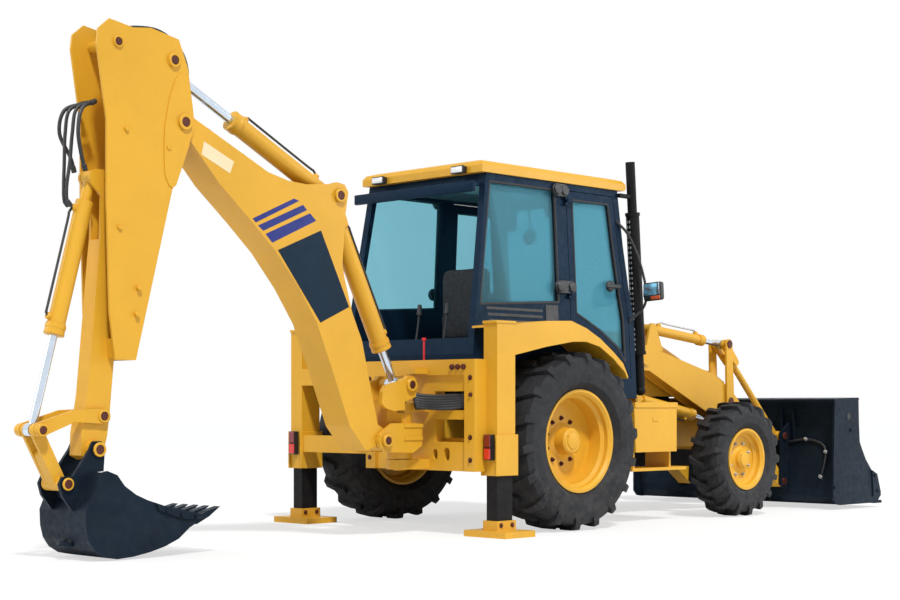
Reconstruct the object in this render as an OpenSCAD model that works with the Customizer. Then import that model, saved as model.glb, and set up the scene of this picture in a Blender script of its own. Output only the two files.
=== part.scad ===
// Backhoe loader with a side-shift digging arm, in its parked pose.
// X runs forward, Y to the machine's left, Z up. The ground is z = 0.
// Places are first written from the rear axle (x = 0) and then moved by origin_x,
// so that the origin lies on the ground under the middle of the whole machine.

/* [Wheels] */
// Distance between the front and rear axles
wheelbase = 2228; // [2215:1:2240]
// Radius over the lugs of a rear tyre
rear_tyre_r = 661; // [655:1:665]
// Width of a rear tyre
rear_tyre_w = 430; // [400:5:434]
// Distance between the middles of the rear tyres
rear_track = 1876; // [1872:2:1890]
// Flange radius of a rear rim
rear_rim_r = 382; // [372:2:392]
// Radius over the lugs of a front tyre
front_tyre_r = 477; // [470:1:480]
// Width of a front tyre
front_tyre_w = 310; // [290:5:314]
// Distance between the middles of the front tyres
front_track = 1824; // [1820:2:1840]
// Flange radius of a front rim
front_rim_r = 255; // [248:1:262]
// Height of a tyre lug over the casing
lug_h = 32; // [24:1:34]
// Number of lugs on each side of a rear tyre
rear_lugs = 18; // [14:1:20]
// Number of lugs on each side of a front tyre
front_lugs = 17; // [14:1:18]

/* [Chassis] */
// Distance between the outer faces of the chassis side plates
chassis_w = 620; // [610:2:626]
// Thickness of a chassis side plate
chassis_t = 30; // [20:1:36]
// Width of the hood
hood_w = 770; // [740:5:774]
// Thickness of the hood's shell
hood_t = 20; // [10:1:24]
// Distance from the middle to a kingpin
kingpin_y = 660; // [655:1:666]

/* [Cab] */
// Half width of the cab at the height of the tyre's top
cab_half = 700; // [694:1:704]
// Inward lean of the cab's sides in degrees
cab_lean = 3; // [2.5:0.1:3.4]
// Thickness of a cab wall or post
wall_t = 60; // [50:2:66]
// Thickness of a door
door_t = 40; // [30:1:44]
// Width of a door's frame
door_frame = 66; // [50:2:76]
// Thickness of a window pane
glass_t = 8; // [6:1:12]
// Thickness of the roof
roof_t = 110; // [90:5:130]
// Half width of the roof
roof_half = 650; // [640:1:656]
// Thickness of a rear fender's sheet
fender_t = 16; // [8:1:24]

/* [Rear frame] */
// Distance between the middles of the stabilizer posts
post_span = 2100; // [2096:1:2110]
// Width of a stabilizer post across the machine
post_w = 130; // [120:2:136]
// Wall thickness of a stabilizer post
post_t = 14; // [10:1:18]
// Height of the top of a stabilizer post
post_top_z = 1510; // [1500:5:1530]
// Height of the bottom of a stabilizer post
post_bottom_z = 430; // [410:5:450]
// Length of a stabilizer pad along the machine
pad_l = 310; // [280:5:330]
// Width of a stabilizer pad across the machine
pad_w = 400; // [340:5:410]

/* [Digging arm] */
// Offset of the digging arm from the machine's middle
hoe_y = -450; // [-456:1:-440]
// Width of the boom over its side plates
boom_w = 250; // [246:1:254]
// Thickness of a side plate of the dipper
plate_t = 16; // [12:1:20]
// Width of the telescopic dipper arm
arm_w = 124; // [118:1:126]
// Width of the digging bucket
bucket_w = 500; // [450:10:600]
// Radius of the main pins
pin_r = 28; // [24:0.5:30]
// Radius of the barrels of the boom and dipper cylinders
boom_cyl_r = 64; // [58:1:66]
// Radius of the barrel of the bucket cylinder
bucket_cyl_r = 54; // [46:1:58]
// Radius of the rods of the digging arm
rod_r = 31; // [26:1:34]

/* [Loader] */
// Distance of the middle of a loader arm from the machine's middle
arm_y = 500; // [498:0.5:503]
// Width of a loader arm
loader_arm_w = 140; // [136:1:142]
// Width of the loader bucket
loader_w = 2240; // [2160:10:2300]
// Thickness of the sheets of the loader bucket
bucket_t = 20; // [14:1:26]
// Radius of the barrels of the lift cylinders
lift_cyl_r = 44; // [38:1:46]
// Radius of the barrels of the tilt cylinders
tilt_cyl_r = 40; // [34:1:44]
// Radius of the rods of the loader's cylinders
loader_rod_r = 24; // [20:1:26]

/* [Fits] */
// Radial clearance of a pin in its bore
pin_gap = 0.3; // [0.1:0.1:0.6]
// Radial clearance of an axle stub in its hub
hub_gap = 0.05; // [0.02:0.01:0.1]
// Clearance of parts that slide along each other
slide_gap = 0.3; // [0.2:0.1:2]
// Side clearance between parts that move past each other
side_gap = 6; // [5:0.5:7]

/* [Hidden] */

origin_x = 8.5;

yellow = "#f0b02e";
black = "#22252a";
navy = "#2b3444";
steel = "#a9b4c4";
glass = "#9fc6d2";

// Pins of the digging arm as [x, z]
swing_x = -1215;
boom_foot = [-1500, 680];
boom_cyl_base = [-1265, 1070];
hump_pin = [-1900, 2350];
dipper_pin = [-3210, 2690];
dipper_top_pin = [-3290, 3065];
bucket_cyl_base = [-3800, 2300];
lever_pin = [-3760, 860];
lever_end = [-4205, 780];
link_pin = [-4040, 460];
bucket_pin = [-3820, 660];

// Pins of the loader as [x, z]
arm_pin = [1450, 1300];
lift_base = [1400, 985];
lift_end = [2480, 800];
tilt_base = [1570, 1560];
rocker_pin = [2620, 960];
rocker_top = [2600, 1455];
push_pin = [3440, 650];
loader_pin = [3440, 240];

// Helpers
module at_origin() { translate([origin_x, 0, 0]) children(); }
module on_hoe() { at_origin() translate([0, hoe_y, 0]) children(); }
module on_arms() { at_origin() for (s = [-1, 1]) translate([0, s * arm_y, 0]) children(); }

// A flat plate drawn in X and Z, centred on y
module plate(y, t) {
    translate([0, y + t / 2, 0]) rotate([90, 0, 0]) linear_extrude(t) children();
}

// A pair of plates with their outer faces at half on both sides of y = 0
module plate_pair(half, t) {
    for (s = [-1, 1]) plate(s * (half - t / 2), t) children();
}

// A round bar across the machine at the pin p
module cross_bar(p, r, len, y = 0) {
    translate([p[0], y, p[1]]) rotate([90, 0, 0]) cylinder(r = r, h = len, center = true, $fn = 48);
}

function unit(v) = v / norm(v);
function left_of(v) = [-v[1], v[0]];

// The outline of a bar with round ends of radius r1 at p1 and r2 at p2
module bar2d(p1, r1, p2, r2) {
    d = p2 - p1;
    a = asin((r1 - r2) / norm(d));
    u = unit(d);
    n = left_of(u);
    up = n * cos(a) + u * sin(a);
    dn = -n * cos(a) + u * sin(a);
    translate(p1) circle(r = r1, $fn = 48);
    translate(p2) circle(r = r2, $fn = 48);
    polygon([p1 + r1 * up, p1 + r1 * dn, p2 + r2 * dn, p2 + r2 * up]);
}

// A tube drawn from pin p1 towards pin p2, from s0 to s1 along the way
module tube_between(p1, p2, s0, s1, r, y = 0) {
    d = p2 - p1;
    translate([p1[0], y, p1[1]])
        rotate([0, 90 - atan2(d[1], d[0]), 0])
            translate([0, 0, s0]) cylinder(r = r, h = s1 - s0, $fn = 48);
}

// A cylinder barrel from its base pin to its gland, with an eye of width eye_w
module barrel(base, tip, len, r, bore, eye_r, eye_w, pin, neck = 90) {
    difference() {
        union() {
            tube_between(base, tip, eye_r * 0.6, neck + 5, min(r, eye_w / 2 - 2));
            tube_between(base, tip, neck, len, r);
            tube_between(base, tip, len - 70, len, r + 6);
            cross_bar(base, eye_r, eye_w);
        }
        cross_bar(base, pin + pin_gap, 2 * r + 60);
        tube_between(base, tip, eye_r + 30, len + 1, bore + pin_gap);
    }
}

// A cylinder rod of length len that ends in an eye at the pin tip
module rod(base, tip, len, r, eye_r, eye_w) {
    full = norm(tip - base);
    tube_between(base, tip, full - len, full - eye_r * 0.6, r);
    cross_bar(tip, eye_r, eye_w);
}

// Two round bosses between the distances y0 and y1 from the middle, at the pin p
module boss_pair(p, r, y0, y1) {
    for (s = [-1, 1]) cross_bar(p, r, y1 - y0, s * (y0 + y1) / 2);
}

// Wheels
module rear_wheel_at(side) { at_origin() translate([0, side * rear_track / 2, rear_tyre_r]) children(); }
module front_wheel_at(side) {
    at_origin() translate([wheelbase, side * front_track / 2, front_tyre_r]) children();
}

seat_d = 25;

// The outline of one lug as [round the tread, across it]
function lug_plan(w, s, k) = [[-24 * k, -s * 10], [20 * k, -s * 16], [54 * k, s * w * 0.24],
    [100 * k, s * (w / 2 + 2)], [40 * k, s * (w / 2 + 2)], [2 * k, s * w * 0.24]];

module tyre(r, w, rim_r, lugs, turn) {
    casing = r - lug_h;
    bead = w * 0.36;
    color(black) {
        rotate([90, 0, 0]) rotate_extrude($fn = 96)
            polygon([[rim_r - seat_d + 0.3, -bead], [rim_r + 1, -bead], [rim_r + 50, -w / 2 + 6],
                [rim_r + 110, -w / 2], [casing - 60, -w / 2 + 6], [casing - 16, -w / 2 + 30], [casing,
                    -w / 4],
                [casing, w / 4], [casing - 16, w / 2 - 30], [casing - 60, w / 2 - 6], [rim_r + 110,
                    w / 2],
                [rim_r + 50, w / 2 - 6], [rim_r + 1, bead], [rim_r - seat_d + 0.3, bead]]);
        intersection() {
            rotate([90, 0, 0]) rotate_extrude($fn = 96)
                polygon([[casing - 90, -w / 2 + 3], [r - 62, -w / 2 + 3], [r - 10, -w / 2 + 26], [r,
                    -w / 4],
                    [r, w / 4], [r - 10, w / 2 - 26], [r - 62, w / 2 - 3], [casing - 90, w / 2 - 3]]);
            for (i = [0:lugs - 1], s = [-1, 1])
                rotate([0, i * 360 / lugs + (s > 0 ? 180 / lugs : 0), 0])
                    translate([0, 0, casing - 80]) linear_extrude(lug_h + 100) polygon(lug_plan(w, s,
                        turn));
        }
    }
}

// A dished rim. Across the wheel, y counts outwards; disc_y is the disc's outer face.
module rim(rim_r, w, side, disc_y, hub_r, hub_y, stub_r, stub_y) {
    bead = w * 0.36;
    seat_r = rim_r - seat_d;
    drop = 24;
    color(yellow) rotate([-90 * side, 0, 0]) rotate_extrude($fn = 96)
        polygon([[rim_r, bead], [rim_r, bead + 14], [seat_r + 6, bead + 14], [seat_r - 14, bead - 6],
            [seat_r - 14, bead - 40], [seat_r - 14 - drop, bead - 60], [seat_r - 14 - drop, disc_y + 4],
            [seat_r - 60, disc_y], [hub_r + 40, disc_y], [hub_r + 6, disc_y + 20], [hub_r, hub_y - 12],
            [hub_r - 14, hub_y], [0, hub_y], [0, stub_y], [stub_r, stub_y], [stub_r, disc_y - 50],
            [hub_r + 30, disc_y - 50], [hub_r + 44, disc_y - 16], [seat_r - 60, disc_y - 16],
            [seat_r - 14 - drop, disc_y - 20], [seat_r - 14 - drop, -bead + 60], [seat_r - 14,
                -bead + 40],
            [seat_r - 14, -bead + 6], [seat_r + 6, -bead - 14], [rim_r, -bead - 14], [rim_r, -bead],
            [seat_r, -bead], [seat_r, -bead + 46], [seat_r - drop, -bead + 66], [seat_r - drop,
                bead - 66],
            [seat_r, bead - 46], [seat_r, bead]]);
}

rear_disc_y = -20;
rear_hub_y = 95;
rear_stub_r = 70;
rear_stub_y = 50;
front_disc_y = 40;
front_hub_y = 100;
front_stub_r = 45;
front_stub_y = 70;

module rear_tyre(side) { rear_wheel_at(side) tyre(rear_tyre_r, rear_tyre_w, rear_rim_r, rear_lugs, 1); }
module front_tyre(side) { front_wheel_at(side) tyre(front_tyre_r, front_tyre_w, front_rim_r,
    front_lugs, 0.8); }
module rear_rim(side) {
    rear_wheel_at(side)
        rim(rear_rim_r, rear_tyre_w, side, rear_disc_y, 96, rear_hub_y, rear_stub_r + hub_gap,
            rear_stub_y);
}
module front_rim(side) {
    front_wheel_at(side)
        rim(front_rim_r, front_tyre_w, side, front_disc_y, 72, front_hub_y, front_stub_r + hub_gap,
            front_stub_y);
}

// Chassis
chassis_z = 520;
chassis_front_x = 2708;
rail_x = -905;
rail_d = 90;
rail_rows = [[560, 130], [1080, 130]]; // [z, height]
hook_z0 = rail_rows[0][0];
hook_z1 = rail_rows[1][0] + rail_rows[1][1];
floor_z = 980;
axle_r = 95;

// Cross members between the side plates as [x, z, length, height]
cross_members = [[-720, 600, 60, 200], [420, 560, 60, 200], [1500, 640, 60, 80], [wheelbase - 148, 640,
    60, 80],
    [wheelbase - 100, 600, 200, 50], [2640, 600, 60, 240]];

module chassis_frame() {
    half = chassis_w / 2;
    color(yellow) at_origin() {
        difference() {
            plate_pair(half, chassis_t)
                polygon([[rail_x + rail_d, 560], [-600, 560], [-300, chassis_z], [1400, chassis_z],
                    [1800, 570],
                    [chassis_front_x, 570], [chassis_front_x, 850], [1200, 850], [1160, floor_z],
                        [-640, floor_z],
                    [-760, 1210], [rail_x + rail_d, 1210]]);
            translate([0, 0, rear_tyre_r]) rotate([90, 0, 0])
                cylinder(r = axle_r + 1, h = chassis_w + 2, center = true, $fn = 48);
        }
        for (m = cross_members)
            translate([m[0], -half + chassis_t - 1, m[1]]) cube([m[2], chassis_w - 2 * chassis_t + 2,
                m[3]]);
        // Bulkhead behind the engine with the hood's hinge tube
        translate([1190, -half, 849]) cube([20, chassis_w, 601]);
        for (s = [-1, 1]) plate(s * 198, 16)
            polygon([[1190, 1440], [1210, 1440], [1217, 1488], [1205, 1500], [1193, 1488]]);
        cross_bar(hood_hinge, hood_pin_r, 412);
    }
}

module engine_block() {
    color(black) at_origin() {
        translate([1450, -240, 720]) cube([760, 480, 500]);
        translate([480, -150, 620]) cube([971, 300, 229]);
        // Exhaust outlet
        translate([1230, -246, 1000]) cube([221, 200, 90]);
    }
}

nose_x = chassis_front_x + 120;

module nose() {
    color(yellow) at_origin() {
        plate(0, hood_w - 20)
            polygon([[chassis_front_x, 570], [nose_x - 30, 570], [nose_x, 620], [nose_x, 990],
                [chassis_front_x, 990]]);
    }
}

hood_hinge = [1205, 1488];
hood_pin_r = 10;

module hood() {
    half = hood_w / 2;
    color(yellow) at_origin() {
        difference() {
            plate(0, hood_w) polygon([[1180, 1000], [nose_x - 10, 1000], [nose_x - 10, 1130], [2640,
                1215], [2300, 1270],
                [1660, 1530], [1215, 1530], [1180, 1500]]);
            plate(0, hood_w - 2 * hood_t) polygon([[1170, 990], [nose_x - 10 - hood_t, 990],
                [nose_x - 10 - hood_t, 1114],
                [2634, 1195], [2293, 1251], [1656, 1530 - hood_t], [1170, 1530 - hood_t]]);
            // Notch for the exhaust elbow
            translate([1170, -half - 1, 990]) cube([230, hood_t + 2, 100]);
        }
        for (y = [-150, 150]) difference() {
            plate(y, 24) polygon([[1189, 1476], [1205, 1470], [1224, 1480], [1240, 1520], [1216, 1522],
                [1187, 1497]]);
            cross_bar(hood_hinge, hood_pin_r + pin_gap, 40, y);
        }
    }
}

module rear_axle() {
    color(black) at_origin() translate([0, 0, rear_tyre_r]) {
        rotate([90, 0, 0]) cylinder(r = axle_r, h = rear_track - 300, center = true, $fn = 48);
        sphere(r = 215, $fn = 48);
        for (s = [-1, 1]) rotate([-s * 90, 0, 0]) {
            translate([0, 0, chassis_w / 2]) cylinder(r = 135, h = 30, $fn = 48);
            translate([0, 0, rear_track / 2 - 230]) cylinder(r = 170, h = 230 + rear_disc_y - 56,
                $fn = 48);
            translate([0, 0, rear_track / 2 - 100]) cylinder(r = rear_stub_r,
                h = 100 + rear_stub_y - 5, $fn = 48);
        }
    }
}

knuckle_h = 118;
lug_z = knuckle_h / 2 + side_gap;
kingpin_r = 24;

module front_axle() {
    reach = kingpin_y - 115;
    color(black) at_origin() translate([wheelbase, 0, front_tyre_r]) {
        translate([-70, -reach, -70]) cube([140, 2 * reach, 140]);
        translate([-60, -180, 69]) cube([120, 360, 600 - front_tyre_r - 69]);
        for (s = [-1, 1]) for (z = [lug_z, -lug_z - 34]) difference() {
            translate([-55, s > 0 ? reach - 40 : -kingpin_y, z]) cube([110, kingpin_y - reach + 40, 34]);
            translate([0, s * kingpin_y, -200]) cylinder(r = kingpin_r + pin_gap, h = 400, $fn = 48);
        }
        for (s = [-1, 1]) for (z = [lug_z, -lug_z - 34]) difference() {
            translate([0, s * kingpin_y, z]) cylinder(r = 55, h = 34, $fn = 48);
            translate([0, s * kingpin_y, -200]) cylinder(r = kingpin_r + pin_gap, h = 400, $fn = 48);
        }
    }
}

module knuckle(side) {
    hub = front_track / 2 - kingpin_y;
    color(yellow) at_origin() translate([wheelbase, side * kingpin_y, front_tyre_r]) {
        cylinder(r = 52, h = knuckle_h, center = true, $fn = 48);
        cylinder(r = kingpin_r, h = 2 * lug_z + 80, center = true, $fn = 48);
        rotate([-side * 90, 0, 0]) {
            cylinder(r = 50, h = hub - 120, $fn = 48);
            translate([0, 0, hub - 150]) cylinder(r = 95, h = 150 + front_disc_y - 56, $fn = 48);
            translate([0, 0, hub - 60]) cylinder(r = front_stub_r, h = 60 + front_stub_y - 5, $fn = 48);
        }
        // Steering arm towards the back
        translate([-150, side > 0 ? -52 : 12, -20]) cube([130, 40, 40]);
    }
}

// Cab
cab_top_z = 2640;
lean_z = 1322;

// Moves a panel drawn at y = 0 onto the leaning side of the cab
module on_side(s) {
    at_origin() translate([0, s * cab_half, lean_z]) rotate([s * cab_lean, 0, 0])
        translate([0, 0, -lean_z]) children();
}

// A panel of thickness t whose outer face lies inset inside the cab's outer side
module side_panel(s, inset, t) { on_side(s) plate(-s * (inset + t / 2), t) children(); }

// All that lies inside the inner faces of both side walls
module between_sides(t) {
    intersection() {
        children();
        on_side(1) translate([-3000, -3000 - t, -1000]) cube([6000, 3000, 5000]);
        on_side(-1) translate([-3000, t, -1000]) cube([6000, 3000, 5000]);
    }
}

// The cab's outline from the side as [x, z]
cab_points = [[-640, floor_z], [-720, 1150], [-720, 1300], [-500, cab_top_z + 40], [1012, cab_top_z + 40],
    [1060, 2200], [1110, 1873], [1160, 1600], [1158, floor_z]];
door_points = [[383, 1575], [383, 2590], [955, 2590], [1000, 2200], [1048, 1873], [1098, 1600], [1098,
    1140],
    [1075, 1150], [1010, 1259], [885, 1350], [720, 1450], [560, 1523]];
window_points = [[-622, 1665], [-470, 2580], [255, 2580], [255, 1715]];
windshield = [[1140, 1330], [1140, 1600], [1090, 1873], [1040, 2200], [1001, 2560]];
// The rear window stands open, pushed up on its rails under the roof
rear_pane = [[-425, 2600], [735, 2600]];

// Heights of the two hinges on each side
hinge_z = [1780, 2500];
hinge_x = 379;
hinge_out = 18;

module cab_side(s) {
    difference() {
        side_panel(s, 0, wall_t) polygon(cab_points);
        side_panel(s, -1, wall_t + 2) polygon(door_points);
        side_panel(s, -1, wall_t + 2) polygon(window_points);
    }
    for (z = hinge_z) on_side(s) translate([hinge_x, s * hinge_out, z]) {
        cylinder(r = 8, h = 60, center = true, $fn = 32);
        for (k = [-1, 1]) translate([0, 0, k * 22.5]) {
            cylinder(r = 13, h = 19, center = true, $fn = 32);
            translate([-32, s > 0 ? -hinge_out - 5 : -10, -9.5]) cube([32, hinge_out + 15, 19]);
        }
    }
}

module cab_shell() {
    color(navy) difference() {
        union() {
            for (s = [-1, 1]) cab_side(s);
            at_origin() {
                translate([-640, -cab_half + 20, floor_z]) cube([1790, 2 * cab_half - 40, 40]);
                plate(0, 2 * cab_half - 30) polygon([[1158, floor_z], [1160, 1330], [1100, 1330],
                    [1100, floor_z]]);
                plate(0, 2 * cab_half - 60)
                    polygon([[-640, floor_z], [-720, 1150], [-720, 1300], [-700, 1420], [-640, 1420],
                        [-660, 1160],
                        [-590, floor_z]]);
                plate(0, 1180) polygon([[-519, 2560], [-429, 2560], [-429, cab_top_z], [-506,
                    cab_top_z]]);
                plate(0, 1180) polygon([[935, 2560], [1024, 2560], [1016, cab_top_z], [935, cab_top_z]]);
            }
        }
        at_origin() translate([-900, -900, cab_top_z]) cube([2400, 1800, 200]);
    }
}

roof_x0 = -565;
roof_x1 = 1100;

module cab_roof() {
    z = cab_top_z;
    color(yellow) at_origin() intersection() {
        plate(0, 2 * roof_half) polygon([[-565, z], [1080, z], [1100, z + 12], [1100, z + roof_t - 58],
            [1078, z + roof_t - 30], [1000, z + roof_t - 10], [800, z + roof_t], [-300, z + roof_t],
            [-490, z + roof_t - 10], [-545, z + roof_t - 28], [-565, z + roof_t - 58]]);
        translate([-600, 0, 0]) rotate([90, 0, 90]) linear_extrude(1800)
            polygon([[-roof_half, z], [roof_half, z], [roof_half, z + roof_t - 58], [roof_half - 22,
                z + roof_t - 28],
                [roof_half - 90, z + roof_t - 10], [roof_half - 260, z + roof_t], [260 - roof_half,
                    z + roof_t],
                [90 - roof_half, z + roof_t - 10], [22 - roof_half, z + roof_t - 28], [-roof_half,
                    z + roof_t - 58]]);
    }
}

function shift(points, d) = [for (p = points) p + [d, 0]];
function back(points) = [for (i = [len(points) - 1:-1:0]) points[i]];

module cab_glass() {
    color(glass, 0.5) {
        for (s = [-1, 1]) side_panel(s, wall_t / 2, glass_t) polygon(window_points);
        between_sides(wall_t) at_origin() {
            plate(0, 1400) polygon(concat(windshield, back(shift(windshield, -glass_t))));
            plate(0, 1400) polygon(concat(rear_pane, [rear_pane[1] + [0, glass_t], rear_pane[0] + [0,
                glass_t]]));
        }
    }
}

module door(s) {
    color(navy) {
        side_panel(s, 0, door_t) difference() {
            offset(delta = -side_gap) polygon(door_points);
            offset(delta = -side_gap - door_frame) polygon(door_points);
        }
        for (z = hinge_z) on_side(s) difference() {
            union() {
                translate([hinge_x, s * hinge_out, z]) cylinder(r = 13, h = 20, center = true, $fn = 32);
                translate([hinge_x + 4, s > 0 ? -5 : -hinge_out - 9, z - 10]) cube([50, hinge_out + 14,
                    20]);
            }
            translate([hinge_x, s * hinge_out, z]) cylinder(r = 8 + pin_gap, h = 40, center = true,
                $fn = 32);
        }
    }
}

module door_glass(s) {
    color(glass, 0.5) side_panel(s, door_t / 2,
        glass_t) offset(delta = -side_gap - door_frame) polygon(door_points);
}

cab_floor = floor_z + 40;

module seat() {
    color(black) at_origin() {
        translate([-10, -150, cab_floor]) cube([280, 300, 300]);
        translate([-80, -260, cab_floor + 299]) cube([480, 520, 120]);
        translate([-110, -250, cab_floor + 418]) cube([110, 500, 560]);
    }
}

module console() {
    color("gray") at_origin() {
        translate([-590, -330, cab_floor]) cube([160, 660, 380]);
        translate([760, -160, cab_floor]) cube([170, 320, 480]);
        translate([760, 0, cab_floor + 440]) rotate([0, -35, 0]) {
            cylinder(r = 22, h = 150, $fn = 32);
            translate([0, 0, 140]) rotate_extrude($fn = 48) translate([190, 0]) circle(r = 14, $fn = 16);
            for (a = [0, 120, 240]) rotate([0, 0, a]) translate([0, -12, 132]) cube([190, 24, 14]);
        }
    }
}

// A rear fender's upper and lower edge as [x, z]
fender_top = [[-720, 1500], [-378, 1534], [-102, 1544], [68, 1495], [223, 1425], [379, 1329], [499, 1243],
    [559, 1143]];
fender_low = [[-720, 1281], [-378, 1348], [-83, 1392], [68, 1396], [223, 1363], [379, 1279], [499, 1193]];
fender_y = (post_span + post_w) / 2 - 5;

module fenders() {
    t = fender_t;
    color(yellow) difference() {
        at_origin() for (s = [-1, 1]) {
            plate(s * (fender_y + 600) / 2, fender_y - 600)
                polygon(concat(fender_top, back([for (p = fender_top) p + [-t * 0.6, -t]])));
            plate(s * (fender_y - t / 2), t) polygon(concat(fender_top, back(fender_low)));
        }
        on_side(1) translate([-3000, -400, -1000]) cube([6000, 400, 5000]);
        on_side(-1) translate([-3000, 0, -1000]) cube([6000, 400, 5000]);
        at_origin() translate([post_x1 - 200, -2000, 0]) cube([200, 4000, 3000]);
    }
}

module side_tanks() {
    half = chassis_w / 2;
    color(yellow) at_origin() for (s = [-1, 1]) {
        plate(s * 845, 310) polygon([[790, 560], [1310, 560], [1310, 940], [780, 940], [770, 900]]);
        for (x = [840, 1200]) translate([x, s > 0 ? half : -692, 620]) cube([60, 692 - half, 120]);
        for (x = [830, 1290]) translate([x, s > 0 ? 700 : -940, 430]) cube([20, 240, 132]);
        translate([800, s > 0 ? 700 : -960, 410]) cube([690, 260, 24]);
    }
}

// The exhaust leans back like the front post of the cab
exhaust_low = [1290, 1075];
exhaust_top = [1157, 2880];

module exhaust() {
    color(black) at_origin() {
        tube_between(exhaust_low, exhaust_top, 0, 1810, 38, -650);
        tube_between(exhaust_low, exhaust_top, 260, 1380, 54, -650);
        translate([exhaust_low[0], -650, exhaust_low[1] - 30]) sphere(r = 42, $fn = 32);
        translate([exhaust_low[0], -650, exhaust_low[1] - 30]) rotate([-90, 0, 0]) cylinder(r = 34,
            h = 404, $fn = 32);
    }
}

module lamps() {
    color("white") at_origin() {
        for (s = [-1, 1]) translate([roof_x0 - 40, s * 430 - 60, cab_top_z + 1]) cube([40, 120, 50]);
        for (s = [-1, 1]) translate([roof_x1, s * 430 - 60, cab_top_z + 12]) cube([36, 120, 40]);
    }
}

module mirrors() {
    color(black) for (s = [-1, 1]) on_side(s) {
        translate([1075, s > 0 ? 0 : -200, 1800]) cube([30, 200, 22]);
        translate([1095, s > 0 ? 150 : -330, 1740]) cube([60, 180, 150]);
    }
}

// Rear frame
post_x1 = -720;

module rear_frame() {
    d = post_x1 - rail_x;
    color(yellow) at_origin() {
        for (r = rail_rows)
            translate([rail_x, -post_span / 2 + post_w / 2 - 2, r[0]]) cube([rail_d,
                post_span - post_w + 4, r[1]]);
        for (s = [-1, 1]) translate([rail_x, s * post_span / 2, post_bottom_z]) difference() {
            translate([0, -post_w / 2, 0]) cube([d, post_w, post_top_z - post_bottom_z]);
            translate([post_t, -post_w / 2 + post_t, -1])
                cube([d - 2 * post_t, post_w - 2 * post_t, post_top_z - post_bottom_z - post_t + 1]);
        }
    }
}

// The tail lamps stand just past the ends of the carriage's travel
module tail_lamps() {
    lamp_y = carriage_w / 2 - hoe_y + 12;
    color("red") at_origin() for (s = [-1, 1])
        translate([rail_x - 40, s * (lamp_y + 35) - 35, 540]) cube([40, 70, 180]);
}

collar_z = 114;

module stabilizer_leg(s) {
    g = post_t + slide_gap;
    d = post_x1 - rail_x;
    color(black) at_origin() translate([rail_x, s * post_span / 2, 0])
        translate([g, -post_w / 2 + g, collar_z]) cube([d - 2 * g, post_w - 2 * g, 1006]);
}

module stabilizer(s) {
    d = post_x1 - rail_x;
    color(yellow) at_origin() translate([rail_x + d / 2, s * post_span / 2, 0]) {
        translate([-pad_l / 2, -pad_w / 2, 0]) cube([pad_l, pad_w, 45]);
        translate([-d / 2 - 4, -post_w / 2 - 4, 44]) cube([d + 8, post_w + 8, collar_z - 44]);
    }
}

// Digging arm
carriage_w = 1120;
carriage_x1 = rail_x - slide_gap;
carriage_x0 = carriage_x1 - 100;

// Openings of the carriage as [y, z, width, height]
carriage_windows = [[-448, 665, 300, 160], [-448, 890, 300, 135], [148, 665, 300, 160], [148, 890, 300,
    135]];
// Oval slots in its lower beam as [y, z, radius, half height]
carriage_slots = [[-150, 577, 24, 14], [-266, 577, 30, 18], [150, 577, 24, 14], [266, 577, 30, 18]];
swing_lugs = [[470, 70], [880, 60]]; // [z, height]

module carriage() {
    color(yellow) on_hoe() difference() {
        union() {
            difference() {
                translate([carriage_x0, -carriage_w / 2, 460]) cube([100, carriage_w, 790]);
                for (w = carriage_windows) translate([carriage_x0 - 1, w[0], w[1]]) cube([102, w[2],
                    w[3]]);
                for (w = carriage_slots) translate([carriage_x0 - 1, w[0], w[1]]) {
                    for (k = [-1, 1]) translate([0, 0, k * w[3]]) rotate([0, 90, 0])
                        cylinder(r = w[2], h = 102, $fn = 24);
                    translate([0, -w[2], -w[3]]) cube([102, 2 * w[2], 2 * w[3]]);
                }
            }
            for (z = [hook_z1 + slide_gap, hook_z0 - slide_gap - 30])
                translate([carriage_x1 - 1, -500, z]) cube([86, 1000, 30]);
            // Raised rim along the top and both ends
            translate([carriage_x0 - 20, -carriage_w / 2, 1140]) cube([21, carriage_w, 110]);
            for (s = [-1, 1]) translate([carriage_x0 - 20, s > 0 ? 460 : -carriage_w / 2, 460])
                cube([21, carriage_w / 2 - 460, 790]);
            translate([swing_x + 65, -92, 1150]) cube([carriage_x0 - swing_x - 64, 184, 40]);
            for (l = swing_lugs) translate([0, 0, l[0]]) {
                translate([swing_x, -92, 0]) cube([carriage_x0 - swing_x + 1, 184, l[1]]);
                translate([swing_x, 0, 0]) cylinder(r = 92, h = l[1], $fn = 48);
            }
        }
        translate([swing_x, 0, 400]) cylinder(r = 40 + pin_gap, h = 900, $fn = 48);
    }
}

cheek_in = boom_w / 2 + side_gap;
cheek_t = 35;
cheek_out = cheek_in + cheek_t;

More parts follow.
